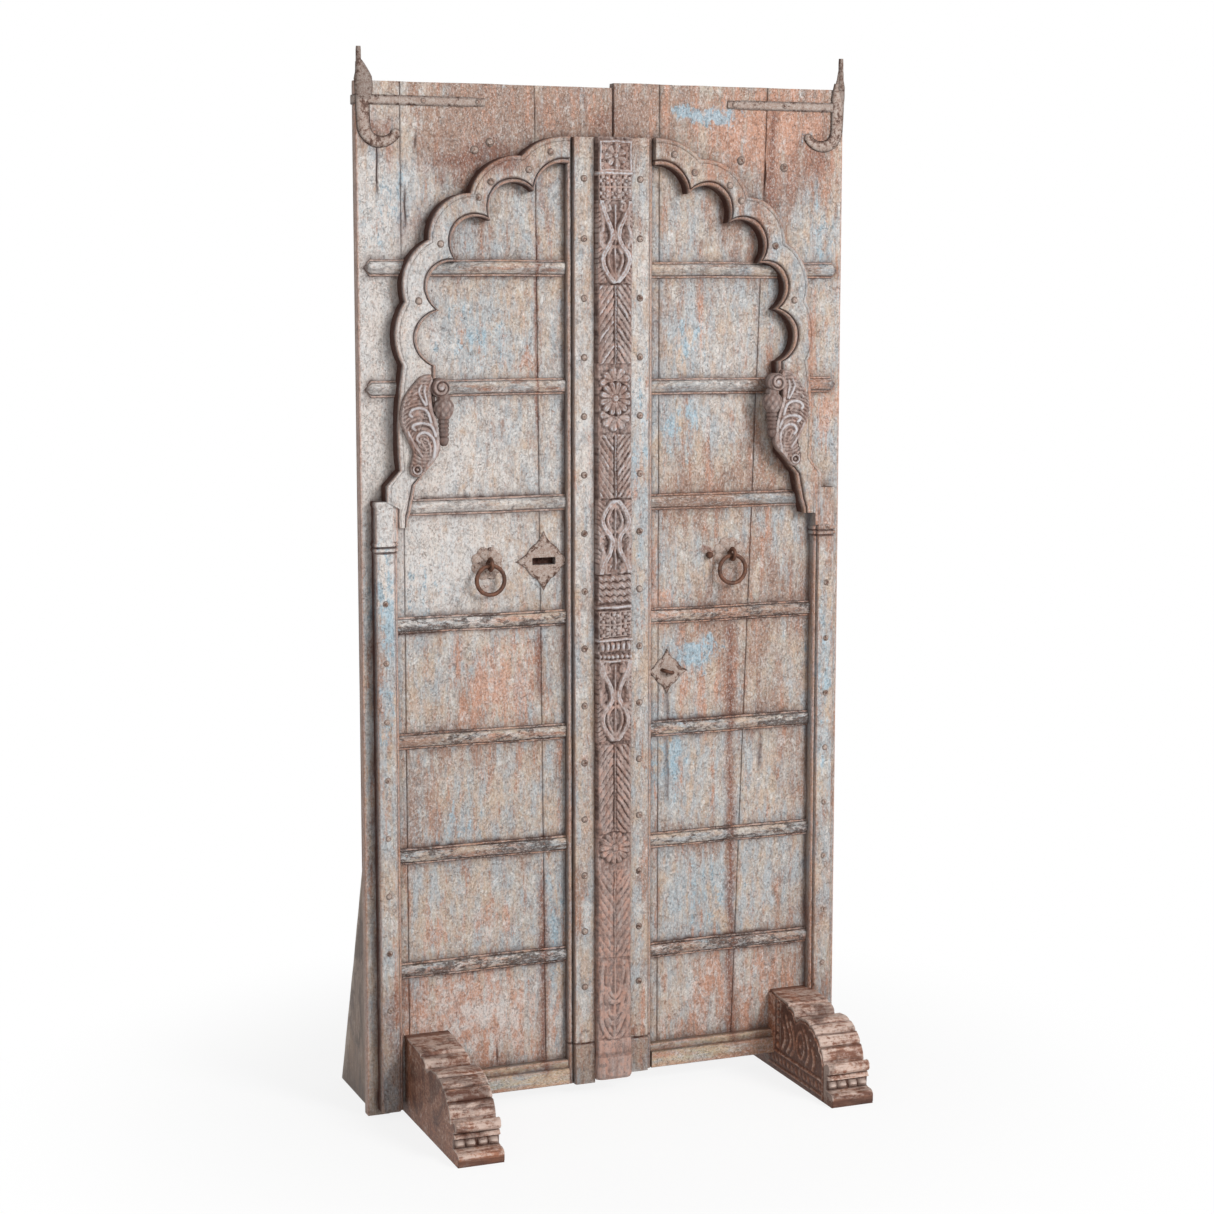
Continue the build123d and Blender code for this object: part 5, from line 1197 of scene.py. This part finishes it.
def addNail(bm, x, front, z, seed, radius=nailLook["radius"], height=nailLook["height"]):
    # front is the y of the surface the head lies on
    around, dome = nailLook["around"], np.array(nailLook["dome"])

    def place(column, row):
        turn = 2 * math.pi * column / around
        far, up = dome[row].T
        dent = 1 + 0.10 * (row > 0) * ripple(np.cos(turn) * 2, np.sin(turn) * 2, row * 0.5, 1.6, seed)
        wide = radius * far * (1 + 0.10 * ripple(np.cos(turn), np.sin(turn), 0, 1.2, seed + 3))
        tilt = 0.35 * np.sin(turn + seed) * far
        return (x + wide * np.cos(turn), front - height * up * dent - tilt, z + wide * np.sin(turn),
                np.clip(far - 0.45, 0, 1) * 1.2, np.clip(0.9 - far, 0, 1))
    gridSheet(bm, around, len(dome) - 1, place)
    bmesh.ops.remove_doubles(bm, verts=bm.verts, dist=0.01)


for sideName, side in sides.items():
    bm = newPiece()
    x, lowest, pitch, count = nailLook["strip"][sideName]
    for i in range(count):
        addNail(bm, x, leafFront - stripLook["face"], lowest + pitch * i, i * 1.3 + side)
    finishPiece(bm, sideName + "StripNails", paintedIron, [sideName + "_strip_nails"], sharp=45)
    bm = newPiece()
    face = 1000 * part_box(sideName + "_column_nails")[0].y + 4
    x, lowest, pitch, count = nailLook["column"][sideName]
    for i in range(count):
        addNail(bm, x, face, lowest + pitch * i, i * 1.7)
    finishPiece(bm, sideName + "ColumnNails", paintedIron, [sideName + "_column_nails"], sharp=45)
    bm = newPiece()
    edge, span = edgeOf[sideName], spanOf[sideName]
    for i, (s, t) in enumerate(nailLook["arch"]):
        addNail(bm, side * (edge + s * (span - edge)), leafFront - archLook["face"],
                archLook["foot"] + t * archLook["rise"], i * 2.1)
    finishPiece(bm, sideName + "ArchNails", paintedIron, [sideName + "_arch_nails"], sharp=45)
bm = newPiece()
for i, (s, t) in enumerate(nailLook["spandrel"]):
    addNail(bm, s * halfWidth, leafFront, t * topOf["left"], i * 2.7, nailLook["bigRadius"], nailLook["bigHeight"])
finishPiece(bm, "spandrelNails", paintedIron, ["spandrel_nails"], sharp=45)
print("nails made")


# feet: a carved outline drawn across the width

footShape = {
    "width": 90, "left": (-383, 334, 156), "right": (404, 290, 164), "heel": 118,
    "top": [(0, 1), (0.10, 0.985), (0.22, 0.97), (0.30, 0.955), (0.305, 0.925), (0.345, 0.935), (0.38, 0.915),
            (0.40, 0.885), (0.405, 0.84), (0.435, 0.81), (0.46, 0.84), (0.50, 0.88), (0.545, 0.885)],
    "belly": (0.855, 0.50, 0.17), "bands": 4,
    "toe": [(0.855, 0.46), (0.865, 0.445), (0.90, 0.495), (0.925, 0.50), (0.944, 0.47), (0.946, 0.41), (0.93, 0.375),
            (0.905, 0.36), (0.92, 0.345), (0.935, 0.31), (0.925, 0.295), (0.92, 0.175), (0.94, 0.16), (0.975, 0.158),
            (0.99, 0.145), (1, 0.12), (1, 0.03), (0.99, 0.0)],
}


def footOutline(reach, height, look):
    top = denser(look["top"], 3) * (reach, height)
    end = np.array(look["belly"][:2]) * (reach, height)
    belly = arcBetween(top[-1], end, look["belly"][2], 48)
    normal = np.gradient(belly, axis=0)
    normal = np.column_stack((-normal[:, 1], normal[:, 0])) / np.hypot(*normal.T)[:, None]
    part = np.linspace(0, look["bands"], len(belly))
    band = part % 1
    dip = 5.0 * np.clip(1 - np.minimum(band, 1 - band) / 0.10, 0, 1) - 1.2 * np.sin(math.pi * band)
    dip[0] = dip[-1] = 0
    belly = belly - normal * dip[:, None]
    toe = denser(look["toe"], 2) * (reach, height)
    return np.vstack([top, belly[1:], toe])


def makeFoot(name, look):
    centre, reach, height = look[name]
    bm = newPiece()
    face = footOutline(reach, height, look)
    lift = liftOf[name] - 0.5
    back = leafFront - look["heel"]
    base = denser([(reach * 0.99, 0), (reach * 0.5, 0), (back, 0)], 6)[1:]
    heel = denser([(back, 0), (back, lift), (0, lift), (0, height)], 5)[1:]
    line = np.vstack([face, base, heel])
    middle = np.array((reach * 0.4, height * 0.4))
    half = look["width"] / 2
    across = np.array([-half, -half + 0.6, -half + 2.2] + list(np.linspace(-half + 6, half - 6, 24))
                      + [half - 2.2, half - 0.6, half])
    inset = np.interp(np.abs(across), [half - 2.2, half - 0.6, half], [0, 0.9, 2.4])
    count = len(face)

    def place(column, row):
        spot = line[column].copy()
        inward = middle - spot
        inward = inward / np.hypot(*inward.T)[:, None]
        spot = spot + inward * inset[row][:, None] * (spot[:, 1:] > 0.5)
        x = centre + across[row]
        y, z = leafFront - spot[:, 0], spot[:, 1]
        onFace = (column < count - 4) & (column > 1)
        rough = (ripple(x, y, z, (70, 14, 14), 3.0) * 0.8 + ripple(x, y, z, (22, 6, 6), 5.0) * 0.35) * onFace
        y, z = y + rough * 0.7, z + rough * 0.7
        share = (leafFront - y) / reach
        # beads over the plinth and drilled dots near the top
        beadRow = onFace & (spot[:, 1] < 0.30 * height) & (spot[:, 1] > 0.17 * height) & (share > 0.86)
        lane = ((across[row] + half) / (look["width"] / 4)) % 1 - 0.5
        bead = ridge(lane, 0.40) * ridge(spot[:, 1] - 0.235 * height, 0.055 * height)
        y = y - beadRow * (bead * 11 - 5)
        dot = np.hypot(lane * look["width"] / 4, (share - 0.265) * reach)
        z = z - (share < 0.33) * onFace * 3.0 * np.clip(1 - dot / 3.6, 0, 1)
        sideDirt = np.clip((np.abs(across[row]) - half + 2.5) / 2.5, 0, 1)
        # darker near the leaf, between the beads, in the drilled dots and cut lines: dirt with painted shade
        grimeAndShade = (0.15 + 0.35 * np.clip(1 - share * 2.2, 0, 1) + beadRow * (1 - bead) * 0.75
                 + (dot < 3.2) * (share < 0.33) * 0.7)
        cut = column - len(denser(look["top"], 3))
        cut = (cut >= 0) & (cut < 48) & ((cut % 12 < 2) | (cut % 12 > 10))
        grimeAndShade = (grimeAndShade + 0.55 * cut + 0.5 * (np.abs(spot[:, 1] / height - 0.36) < 0.012)
                 + 0.5 * (np.abs(spot[:, 0] / reach - 0.43) < 0.02))
        wearAndHighlight = 0.35 + 0.65 * beadRow * bead + 0.4 * sideDirt
        y = np.maximum(y, leafFront - reach + 0.3)
        # the side rims, underside and heel are painted dark: painted shade, with dirt
        grimeAndShade = np.where(np.abs(across[row]) > half - 0.3, 0.62, grimeAndShade)
        return x, y, z, (grimeAndShade - 0.1) * onFace + 0.75 * ~onFace, wearAndHighlight * onFace
    gridSheet(bm, len(line) - 1, len(across) - 1, place)
    closeUp(bm)
    flats = [cap for cap in bm.faces if len(cap.verts) > 40 and (name == "left" or cap.normal.x > 0)]
    bmesh.ops.inset_individual(bm, faces=flats, thickness=1.4, use_even_offset=True)
    # the flat sides keep some painted shade
    for cap in flats:
        mark(bm, list(cap.verts), 0.22, 0.0)
    if name == "right":
        carveFootSide(bm, look)
    finishPiece(bm, name + "Foot", footWood, [name + "_foot"], sharp=42)


sideCarving = {"border": 0.26, "oval": (0.51, 0.53), "beads": 6, "beadColumn": 0.15, "relief": 4.5,
               "scrolls": [[(0.22, 0.34), (0.27, 0.50), (0.24, 0.66), (0.20, 0.80)],
                           [(0.30, 0.34), (0.36, 0.52), (0.31, 0.68), (0.26, 0.82)],
                           [(0.36, 0.33), (0.41, 0.44), (0.40, 0.60), (0.35, 0.74)],
                           [(0.60, 0.34), (0.64, 0.50), (0.60, 0.68), (0.54, 0.78)],
                           [(0.70, 0.32), (0.72, 0.46), (0.69, 0.58)]]}


def carveFootSide(bm, look):
    # the carved face that looks to the left
    centre, reach, height = look["right"]
    face = footOutline(reach, height, look)
    shares = np.linspace(0.0, 0.86, 110)
    topAt = np.interp(shares * reach, np.maximum.accumulate(face[:, 0]), face[:, 1])
    topAt = np.maximum(topAt, 0.5 * height * (shares < 0.83))
    columns, rows = len(shares) - 1, 64
    xFace = centre - look["width"] / 2

    def place(column, row):
        s = shares[column]
        z = 4 + (topAt[column] - 9) * row / rows
        t = z / height
        a, b = s * reach, z
        carved = 0.12 * np.ones(len(s))
        carved = np.maximum(carved, 0.9 * ridge((t - sideCarving["border"]) * height, 3.0))
        carved = np.maximum(carved, 0.8 * ridge((t - 0.075) * height, 2.6))
        leafy = ridge(((s * 16 + t * 3) % 1) - 0.5, 0.36) * ridge((t - 0.165) * height, 8.0)
        carved = np.maximum(carved, 0.6 * leafy)
        ox, oz = sideCarving["oval"]
        far = np.hypot((s - ox) * reach / 0.62, (t - oz) * height)
        carved = np.maximum(carved, np.where(far < 34, np.maximum(0.8 * ridge(far - 27, 4), 0.95 * ridge(far, 9)), 0))
        for scroll in sideCarving["scrolls"]:
            line = smoothLine([(p * reach, q * height) for p, q in scroll], 5)
            carved = np.maximum(carved, 0.85 * ridge(toLine(a, b, line), 4.6))
        fromBeads = s - sideCarving["beadColumn"]
        bead = ((t - 0.30) * sideCarving["beads"] / 0.62 % 1 - 0.5) * 20
        beads = ridge(np.hypot(fromBeads * reach / 0.7, bead), 8.5)
        carved = np.where((np.abs(fromBeads) < 0.035) & (t > 0.30), beads, carved)
        carved = np.where((s < 0.10) & (t > 0.28), 0.8, carved)
        rim = np.minimum(np.minimum((topAt[column] - 5 - z), 60), (0.86 - s) * reach)
        carved = np.maximum(carved, 0.9 * np.clip(1 - np.abs(rim - 3) / 4, 0, 1))
        out = sideCarving["relief"] * carved + ripple(0, a, b, 8, 4.0) * 0.3
        # hollows of the side carving painted dark: patina with painted shade; raised parts paler: wear with a painted
        # highlight
        return (xFace - out + 0.4, leafFront - a, z, np.clip(0.95 - carved, 0.1, 1),
                np.clip(carved - 0.5, 0, 1) * 0.5)
    gridSheet(bm, columns, rows, place)
    closeBack(bm, xFace + 3, 0.6, axis=0)


for sideName in sides:
    makeFoot(sideName, footShape)


def plankRing(across, front, back):       # outline of a planed plank, by the shares that its bevels take
    return denser([(0, front), (across, 0), (0.5, 0), (1 - across, 0), (1, front), (1, 0.5), (1, 1 - back),
                   (1 - across, 1), (0.5, 1), (across, 1), (0, 1 - back), (0, 0.5), (0, front)], 3)


strutShape = {"bevels": (0.02, 0.02, 0.02), "topDeep": 36}
for sideName, side in sides.items():
    low, high = boxOf(sideName + "_strut")
    bm = newPiece()
    zs = np.linspace(low.z + 0.3, high.z - 0.3, 70)
    ring = plankRing(*strutShape["bevels"])

    def place(column, row):
        a, b = ring[column].T
        z = zs[row]
        deep = np.interp(z, [low.z, high.z], [high.y - low.y, strutShape["topDeep"]])
        x = low.x + a * (high.x - low.x)
        y = low.y + 0.2 + b * (deep - 0.5)
        rough = ripple(x, y, z, (30, 30, 120), 6.0) * 0.8
        x = x - np.sign(a - 0.5) * np.abs(rough) * (np.abs(a - 0.5) > 0.4)
        y = y - np.abs(rough) * (b > 0.9)
        edge = (np.minimum(a, 1 - a) < 0.03) & (np.minimum(b, 1 - b) < 0.03)
        return x, y, z, 0.15 + 0.5 * np.clip(1 - z / 80, 0, 1), edge * 0.7
    gridSheet(bm, len(ring) - 1, len(zs) - 1, place)
    finishPiece(bm, sideName + "Strut", strutWood, [sideName + "_strut"], sharp=45)

tieLook = {"bevels": (0.03, 0.06, 0.08), "levels": (760, 1700), "long": 760,
           "nails": (-0.46, -0.30, -0.12, 0.12, 0.30, 0.46), "nailRadius": 6.5, "nailHeight": 4.2}
for tieName, pieceName in (("lower_tie", "lowerTie"), ("upper_tie", "upperTie")):
    low, high = boxOf(tieName)
    bm = newPiece()
    xs = np.linspace(low.x + 0.2, high.x - 0.2, 90)
    ring = plankRing(*tieLook["bevels"])

    def place(column, row):
        a, b = ring[column].T
        x = xs[row]
        z = low.z + 0.2 + a * (high.z - low.z - 0.4)
        y = low.y + b * (high.y - low.y - 0.3)
        rough = ripple(x, y, z, (150, 30, 30), 9.0) * 0.8
        return (x, y - np.abs(rough) * (b > 0.9), z + rough * (np.abs(a - 0.5) > 0.45) * 0.5,
                0.15 + 0.2 * (b < 0.1), ((np.minimum(a, 1 - a) < 0.04) & (b > 0.9)) * 0.7)
    gridSheet(bm, len(ring) - 1, len(xs) - 1, place)
    finishPiece(bm, pieceName, tieWood, [tieName], sharp=45)

bm = newPiece()
low, high = boxOf("tie_nails")
for z in tieLook["levels"]:
    for share in tieLook["nails"]:
        addNail(bm, share * tieLook["long"], 0, z, share * 9 + z, tieLook["nailRadius"], tieLook["nailHeight"])
bmesh.ops.scale(bm, vec=(1, -1, 1), verts=bm.verts)
bmesh.ops.translate(bm, vec=(0, high.y - tieLook["nailHeight"], 0), verts=bm.verts)
finishPiece(bm, "tieNails", rustyIron, ["tie_nails"], sharp=45)
print("feet, struts and ties made")


# irons: ring pulls, lock plates, hasp, latch, pivots and straps

ringLook = {"x": {"left": -252, "right": 258}, "z": 1074, "rose": 33, "petals": 8, "eyeProud": 21.8, "eye": 11,
            "eyeWire": 3.8, "ringZ": 1043.5, "ring": 28, "wire": 4.3, "roseSides": 96, "roseRows": 18}
for sideName in sides:
    x = ringLook["x"][sideName]
    bm = newPiece()

    def roseSpot(column, row):
        turn = 2 * math.pi * column / ringLook["roseSides"]
        part = (turn / (2 * math.pi) * ringLook["petals"]) % 1 - 0.5
        share = row / ringLook["roseRows"]
        far = ringLook["rose"] * share * (1 - 0.13 * (part * 2) ** 2 * share)
        height = 2.2 + 2.6 * ridge(part, 0.52) * np.sin(share * math.pi * 0.8) + 3.5 * ridge(share, 0.35)
        height = height - 2.0 * np.clip((share - 0.88) / 0.12, 0, 1)
        low = np.clip(np.abs(part) * 2 - 0.6, 0, 1) + 0.5 * (np.abs(share - 0.38) < 0.05)
        return (x + far * np.cos(turn), leafFront - height, ringLook["z"] + far * np.sin(turn),
                0.02 + 0.3 * low, 0.15)
    gridSheet(bm, ringLook["roseSides"], ringLook["roseRows"], roseSpot)
    bmesh.ops.remove_doubles(bm, verts=bm.verts, dist=0.01)
    closeBack(bm, leafFront + 1.5)
    finishPiece(bm, sideName + "RingRose", paintedIron, [sideName + "_ring_rose"], sharp=50)
    bm = newPiece()
    hoop(bm, (x, leafFront - ringLook["eyeProud"], ringLook["z"]), (1, 0, 0), ringLook["eye"], ringLook["eyeWire"],
         36, rough=0.3)
    bar(bm, [(x, leafFront - ringLook["eyeProud"] + ringLook["eye"] - 1 + 2.0 * i, ringLook["z"]) for i in range(7)],
        [4.2, 4.6, 5.6, 6.0])
    finishPiece(bm, sideName + "RingStaple", rustyIron, [sideName + "_ring_staple"], sharp=50)
    bm = newPiece()
    hoop(bm, (x, leafFront - ringLook["eyeProud"], ringLook["ringZ"]), (0, 1, 0), ringLook["ring"], ringLook["wire"],
         72, around=16, rough=0.45, grimeAndShade=0.2, wearAndHighlight=0.6)
    finishPiece(bm, sideName + "Ring", rustyIron, [sideName + "_ring"],
                body=sideName + "_ring_body", sharp=60)

plateLook = {"left": (-136, 1074, 58), "right": (125, 842, 45), "thick": 2.6, "slot": (48, 14),
             "quarter": [(0.0, 1.0), (0.12, 0.78), (0.26, 0.60), (0.34, 0.56), (0.42, 0.50), (0.50, 0.42),
                         (0.56, 0.34), (0.60, 0.26), (0.78, 0.12), (1.0, 0.0)]}


def makePlate(name, look):
    x, z, size = look[name]
    quarter = denser(look["quarter"], 3)
    outline = np.vstack([quarter[:-1], (quarter[::-1] * (1, -1))[:-1], (quarter * (-1, -1))[:-1],
                         (quarter[::-1] * (-1, 1))])
    bm = newPiece()
    if name == "left":
        wide, tall = look["slot"][0] / 2 + 0.2, look["slot"][1] / 2 + 0.2
        aim = outline / np.maximum(np.abs(outline[:, :1]) / wide, np.abs(outline[:, 1:]) / tall)
    else:
        aim = outline * 0.01

    def place(column, row):
        share = (np.clip(row, 1, 9) - 1)[:, None] / 8
        spot = aim[column] * (1 - share) + outline[column] * size * share
        proud = look["thick"] * np.array((0.0, 0.95, 1.0, 1.0, 1.02, 1.05, 1.1, 1.2, 1.1, 0.45, -0.5))[row]
        proud = proud + ripple(spot[:, 0], 0, spot[:, 1], 14, 5.0) * 0.4 * (row > 0)
        a = x + spot[:, 0]
        y = leafFront - proud
        if name == "right":               # the plate is cut off by the meeting strip
            a = np.maximum(a, edgeOf["right"] - 1)
        if name == "left":
            y = np.where(row == 0, leafFront + 0.5 * look["thick"], y)
            a = np.minimum(a, -edgeOf["left"] + 1)
        # the slot's floor and the plate's rim walls are painted dark: painted shade with dirt
        return a, y, z + spot[:, 1], 0.12 + 0.6 * (row > 8) + 0.8 * (row == 0), (row > 6) * 0.5
    gridSheet(bm, len(outline) - 1, 10, place)
    bmesh.ops.remove_doubles(bm, verts=bm.verts, dist=0.01)
    if name == "left":
        bmesh.ops.bridge_loops(bm, edges=[edge for edge in bm.edges if edge.is_boundary])
    finishPiece(bm, name + "LockPlate", paintedIron, [name + "_lock_plate"], sharp=40)


for sideName in sides:
    makePlate(sideName, plateLook)

bm = newPiece()
low, high = boxOf("right_hasp_staple")
middle = (low + high) / 2
staple = arcBetween((-12, 0), (12, 0), 0.5, 14)
bar(bm, [(middle.x + a * 0.9, leafFront - 1 - b * 1.2, middle.z - a * 0.25) for a, b in staple], [4.0, 3.8, 4.0])
finishPiece(bm, "rightHaspStaple", rustyIron, ["right_hasp_staple"], sharp=60)
bm = newPiece()
low, high = boxOf("right_latch_pin")
middle = (low + high) / 2
bar(bm, [(middle.x, leafFront + 2 - 2.2 * i, middle.z) for i in range(9)], [5.4, 5.6, 6.6, 7.0, 6.4, 3.0])
finishPiece(bm, "rightLatchPin", rustyIron, ["right_latch_pin"], sharp=60)

pivotLook = {"x": 496, "y": 39, "pin": [7.6, 7.4, 6.6, 5.6, 5.2, 5.1, 5.0, 5.0, 4.9, 4.4],
             # the tail runs down the face and curls inwards: in from the pin, up from the leaf's top
             "tail": [(3, 10), (6, -20), (7, -60), (10, -92), (26, -110), (48, -112), (64, -104), (70, -96)],
             "tailWide": [11, 14, 14, 13.5, 12.5, 11.5, 10, 9.5, 10],
             # half width of the wedge of iron let into the top corner
             "wedge": {"left": 18.5, "right": 12}}
strapLook = {"front": 252, "back": 130, "nail": 130, "thick": 1.7,
             "section": [(0, -0.5), (0, 0.5), (0.08, 0.95), (0.3, 1.0), (0.7, 1.0), (0.92, 0.95), (1, 0.5), (1, -0.5),
                         (0.92, -0.95), (0.08, -0.95), (0, -0.5)]}
for sideName, side in sides.items():
    low, high = boxOf(sideName + "_pivot")
    leafTop = topOf[sideName]
    bm = newPiece()
    x, y = side * pivotLook["x"], pivotLook["y"]
    bar(bm, [(x, y, z) for z in np.linspace(leafTop - 2, high.z - 0.3, 16)], pivotLook["pin"], around=16,
        grimeAndShade=0.45, wearAndHighlight=0.5)
    tail = smoothLine([(x - side * a, leafTop + b) for a, b in pivotLook["tail"]], 7)
    bar(bm, [(a, leafFront - 1.6, b) for a, b in tail], pivotLook["tailWide"], around=18, flat=0.32, grimeAndShade=0.12,
        wearAndHighlight=0.5, edge=0.95)
    size = pivotLook["wedge"][sideName]
    wedge = smoothLine([(x + side * (9.5 - size), leafTop - 36), (x + side * (9.5 - size), leafTop - 8),
                        (x + side * (7 - 0.7 * size), leafTop + 14), (x, leafTop + 34)], 6)
    bar(bm, [(a, y, b) for a, b in wedge], [0.8 * size, 0.97 * size, 0.95 * size, 0.62 * size, 6], around=20,
        flat=0.34, grimeAndShade=0.45, wearAndHighlight=0.3, edge=0.3)
    addNail(bm, tail[-1][0], leafFront - 2.5, tail[-1][1], 4.0 + side, nailLook["bigRadius"], 3.0)
    finishPiece(bm, sideName + "Pivot", paintedIron, [sideName + "_pivot"], sharp=50)
    # the strap goes round the outer edge of the leaf
    low, high = boxOf(sideName + "_pivot_strap")
    bm = newPiece()
    outerX = side * (halfWidth + 1.3)
    thick = strapLook["thick"]
    path = denser([(side * (halfWidth - strapLook["front"]), leafFront - thick),
                   (side * (halfWidth - 120), leafFront - 2.0), (side * (halfWidth - 8), leafFront - 2.6),
                   (outerX, leafFront + 2), (outerX, leafBack - 2), (side * (halfWidth - 4), leafBack + thick),
                   (side * (halfWidth - strapLook["back"]), leafBack + thick)], 12)
    section = np.array(strapLook["section"])
    level = (low.z + high.z) / 2

    def strapSpot(column, row):
        a, b = section[column].T
        spot = path[row]
        ahead = np.gradient(path, axis=0)[row]
        out = np.column_stack((ahead[:, 1], -ahead[:, 0])) / np.hypot(*ahead.T)[:, None] * side
        taper = np.clip(np.minimum(row, len(path) - 1 - row) / 3, 0.35, 1)
        z = level + (high.z - low.z) * (a - 0.5) * np.minimum(1, 0.75 + 0.25 * taper)
        rough = ripple(spot[:, 0], spot[:, 1], z, 24, 3.0) * 0.4
        place = spot + out * (thick * b - np.abs(rough) * (b > 0))[:, None]
        edge = (a < 0.1) | (a > 0.9)
        return place[:, 0], place[:, 1], z, 0.15 + 0.5 * edge, edge * 0.4
    gridSheet(bm, len(section) - 1, len(path) - 1, strapSpot)
    addNail(bm, side * (halfWidth - strapLook["front"] + 14), leafFront - 3.4, level, 1.0, 6, 3)
    addNail(bm, side * (halfWidth - strapLook["nail"]), leafFront - 3.6, level, 2.0, 5, 2.4)
    finishPiece(bm, sideName + "PivotStrap", paintedIron, [sideName + "_pivot_strap"], sharp=45)
print("irons made")


# floor, light and camera

studio = {"floor": (0.93, 0.93, 0.93, 1.0), "world": 0.42, "aim": (0, 0, 1.0),
          # lamps: place, power, size
          "key": ((2.3, -4.6, 3.3), 235, 2.2), "fill": ((-2.5, -4.5, 2.0), 32, 3.0),
          # camera: place, tilt and turn in degrees, lens
          "camera": ((-1.7707, -4.4115, 1.6086), 82.492, -21.653, 72.78)}


def seenByEye(pen):                       # 1 for rays from the camera and for those it sees by mirror or glass
    path = pen.node("ShaderNodeLightPath").socket.node
    names = ("Is Camera Ray", "Is Glossy Ray", "Is Transmission Ray")
    direct, glossy, through = (Tint(pen.tree, path.outputs[name]) for name in names)
    return (direct + glossy + through).clamped()


bm = bmesh.new()
bmesh.ops.create_grid(bm, x_segments=2, y_segments=2, size=14)
floorMesh = bpy.data.meshes.new("floor")
bm.to_mesh(floorMesh)
bm.free()
floor = bpy.data.objects.new("floor", floorMesh)
bpy.context.scene.collection.objects.link(floor)
floorFinish = bpy.data.materials.new("pale_floor")
floorFinish.use_nodes = True
floorFinish.node_tree.nodes.clear()
pen = Tint(floorFinish.node_tree)
place = pen.node("ShaderNodeTexCoord", out=3)
seenBy = seenByEye(pen)
far = pen.vector("LENGTH", place, out=1)
matte = pen.node("ShaderNodeBsdfDiffuse", None, {"Color": studio["floor"]})
glow = pen.node("ShaderNodeEmission", None, {"Color": (1, 1, 1, 1), "Strength": 1.0})
mixed = pen.node("ShaderNodeMixShader", None, {0: seenBy * (0.84 + 0.16 * far.between(0.5, 1.3)), 1: matte, 2: glow})
pen.node("ShaderNodeOutputMaterial", None, {"Surface": mixed})
floorMesh.materials.append(floorFinish)

world = bpy.data.worlds.new("studio")
bpy.context.scene.world = world
world.use_nodes = True
world.node_tree.nodes.clear()
pen = Tint(world.node_tree)
seenBy = seenByEye(pen)
sky = pen.node("ShaderNodeBackground", None,
               {"Color": (1, 1, 1, 1), "Strength": seenBy * (1 - studio["world"]) + studio["world"]})
pen.node("ShaderNodeOutputWorld", None, {"Surface": sky})

for lampName in ("key", "fill"):
    place, power, size = studio[lampName]
    lamp = bpy.data.lights.new(lampName, "AREA")
    lamp.energy, lamp.shape, lamp.size = power, "DISK", size
    holder = bpy.data.objects.new(lampName, lamp)
    holder.location = place
    holder.rotation_euler = (Vector(studio["aim"]) - Vector(place)).to_track_quat("-Z", "Y").to_euler()
    bpy.context.scene.collection.objects.link(holder)

camera = bpy.data.cameras.new("camera")
place, tilt, turn, camera.lens = studio["camera"]
camera.sensor_width = 36
cameraHolder = bpy.data.objects.new("camera", camera)
cameraHolder.location = place
cameraHolder.rotation_euler = (math.radians(tilt), 0, math.radians(turn))
bpy.context.scene.collection.objects.link(cameraHolder)
bpy.context.scene.camera = cameraHolder
bpy.context.scene.view_settings.view_transform = "Standard"

triangles = sum(len(p.vertices) - 2 for o in bpy.data.objects if o.type == "MESH" and not o.hide_render
                for p in o.data.polygons)
print("shown triangles", triangles)
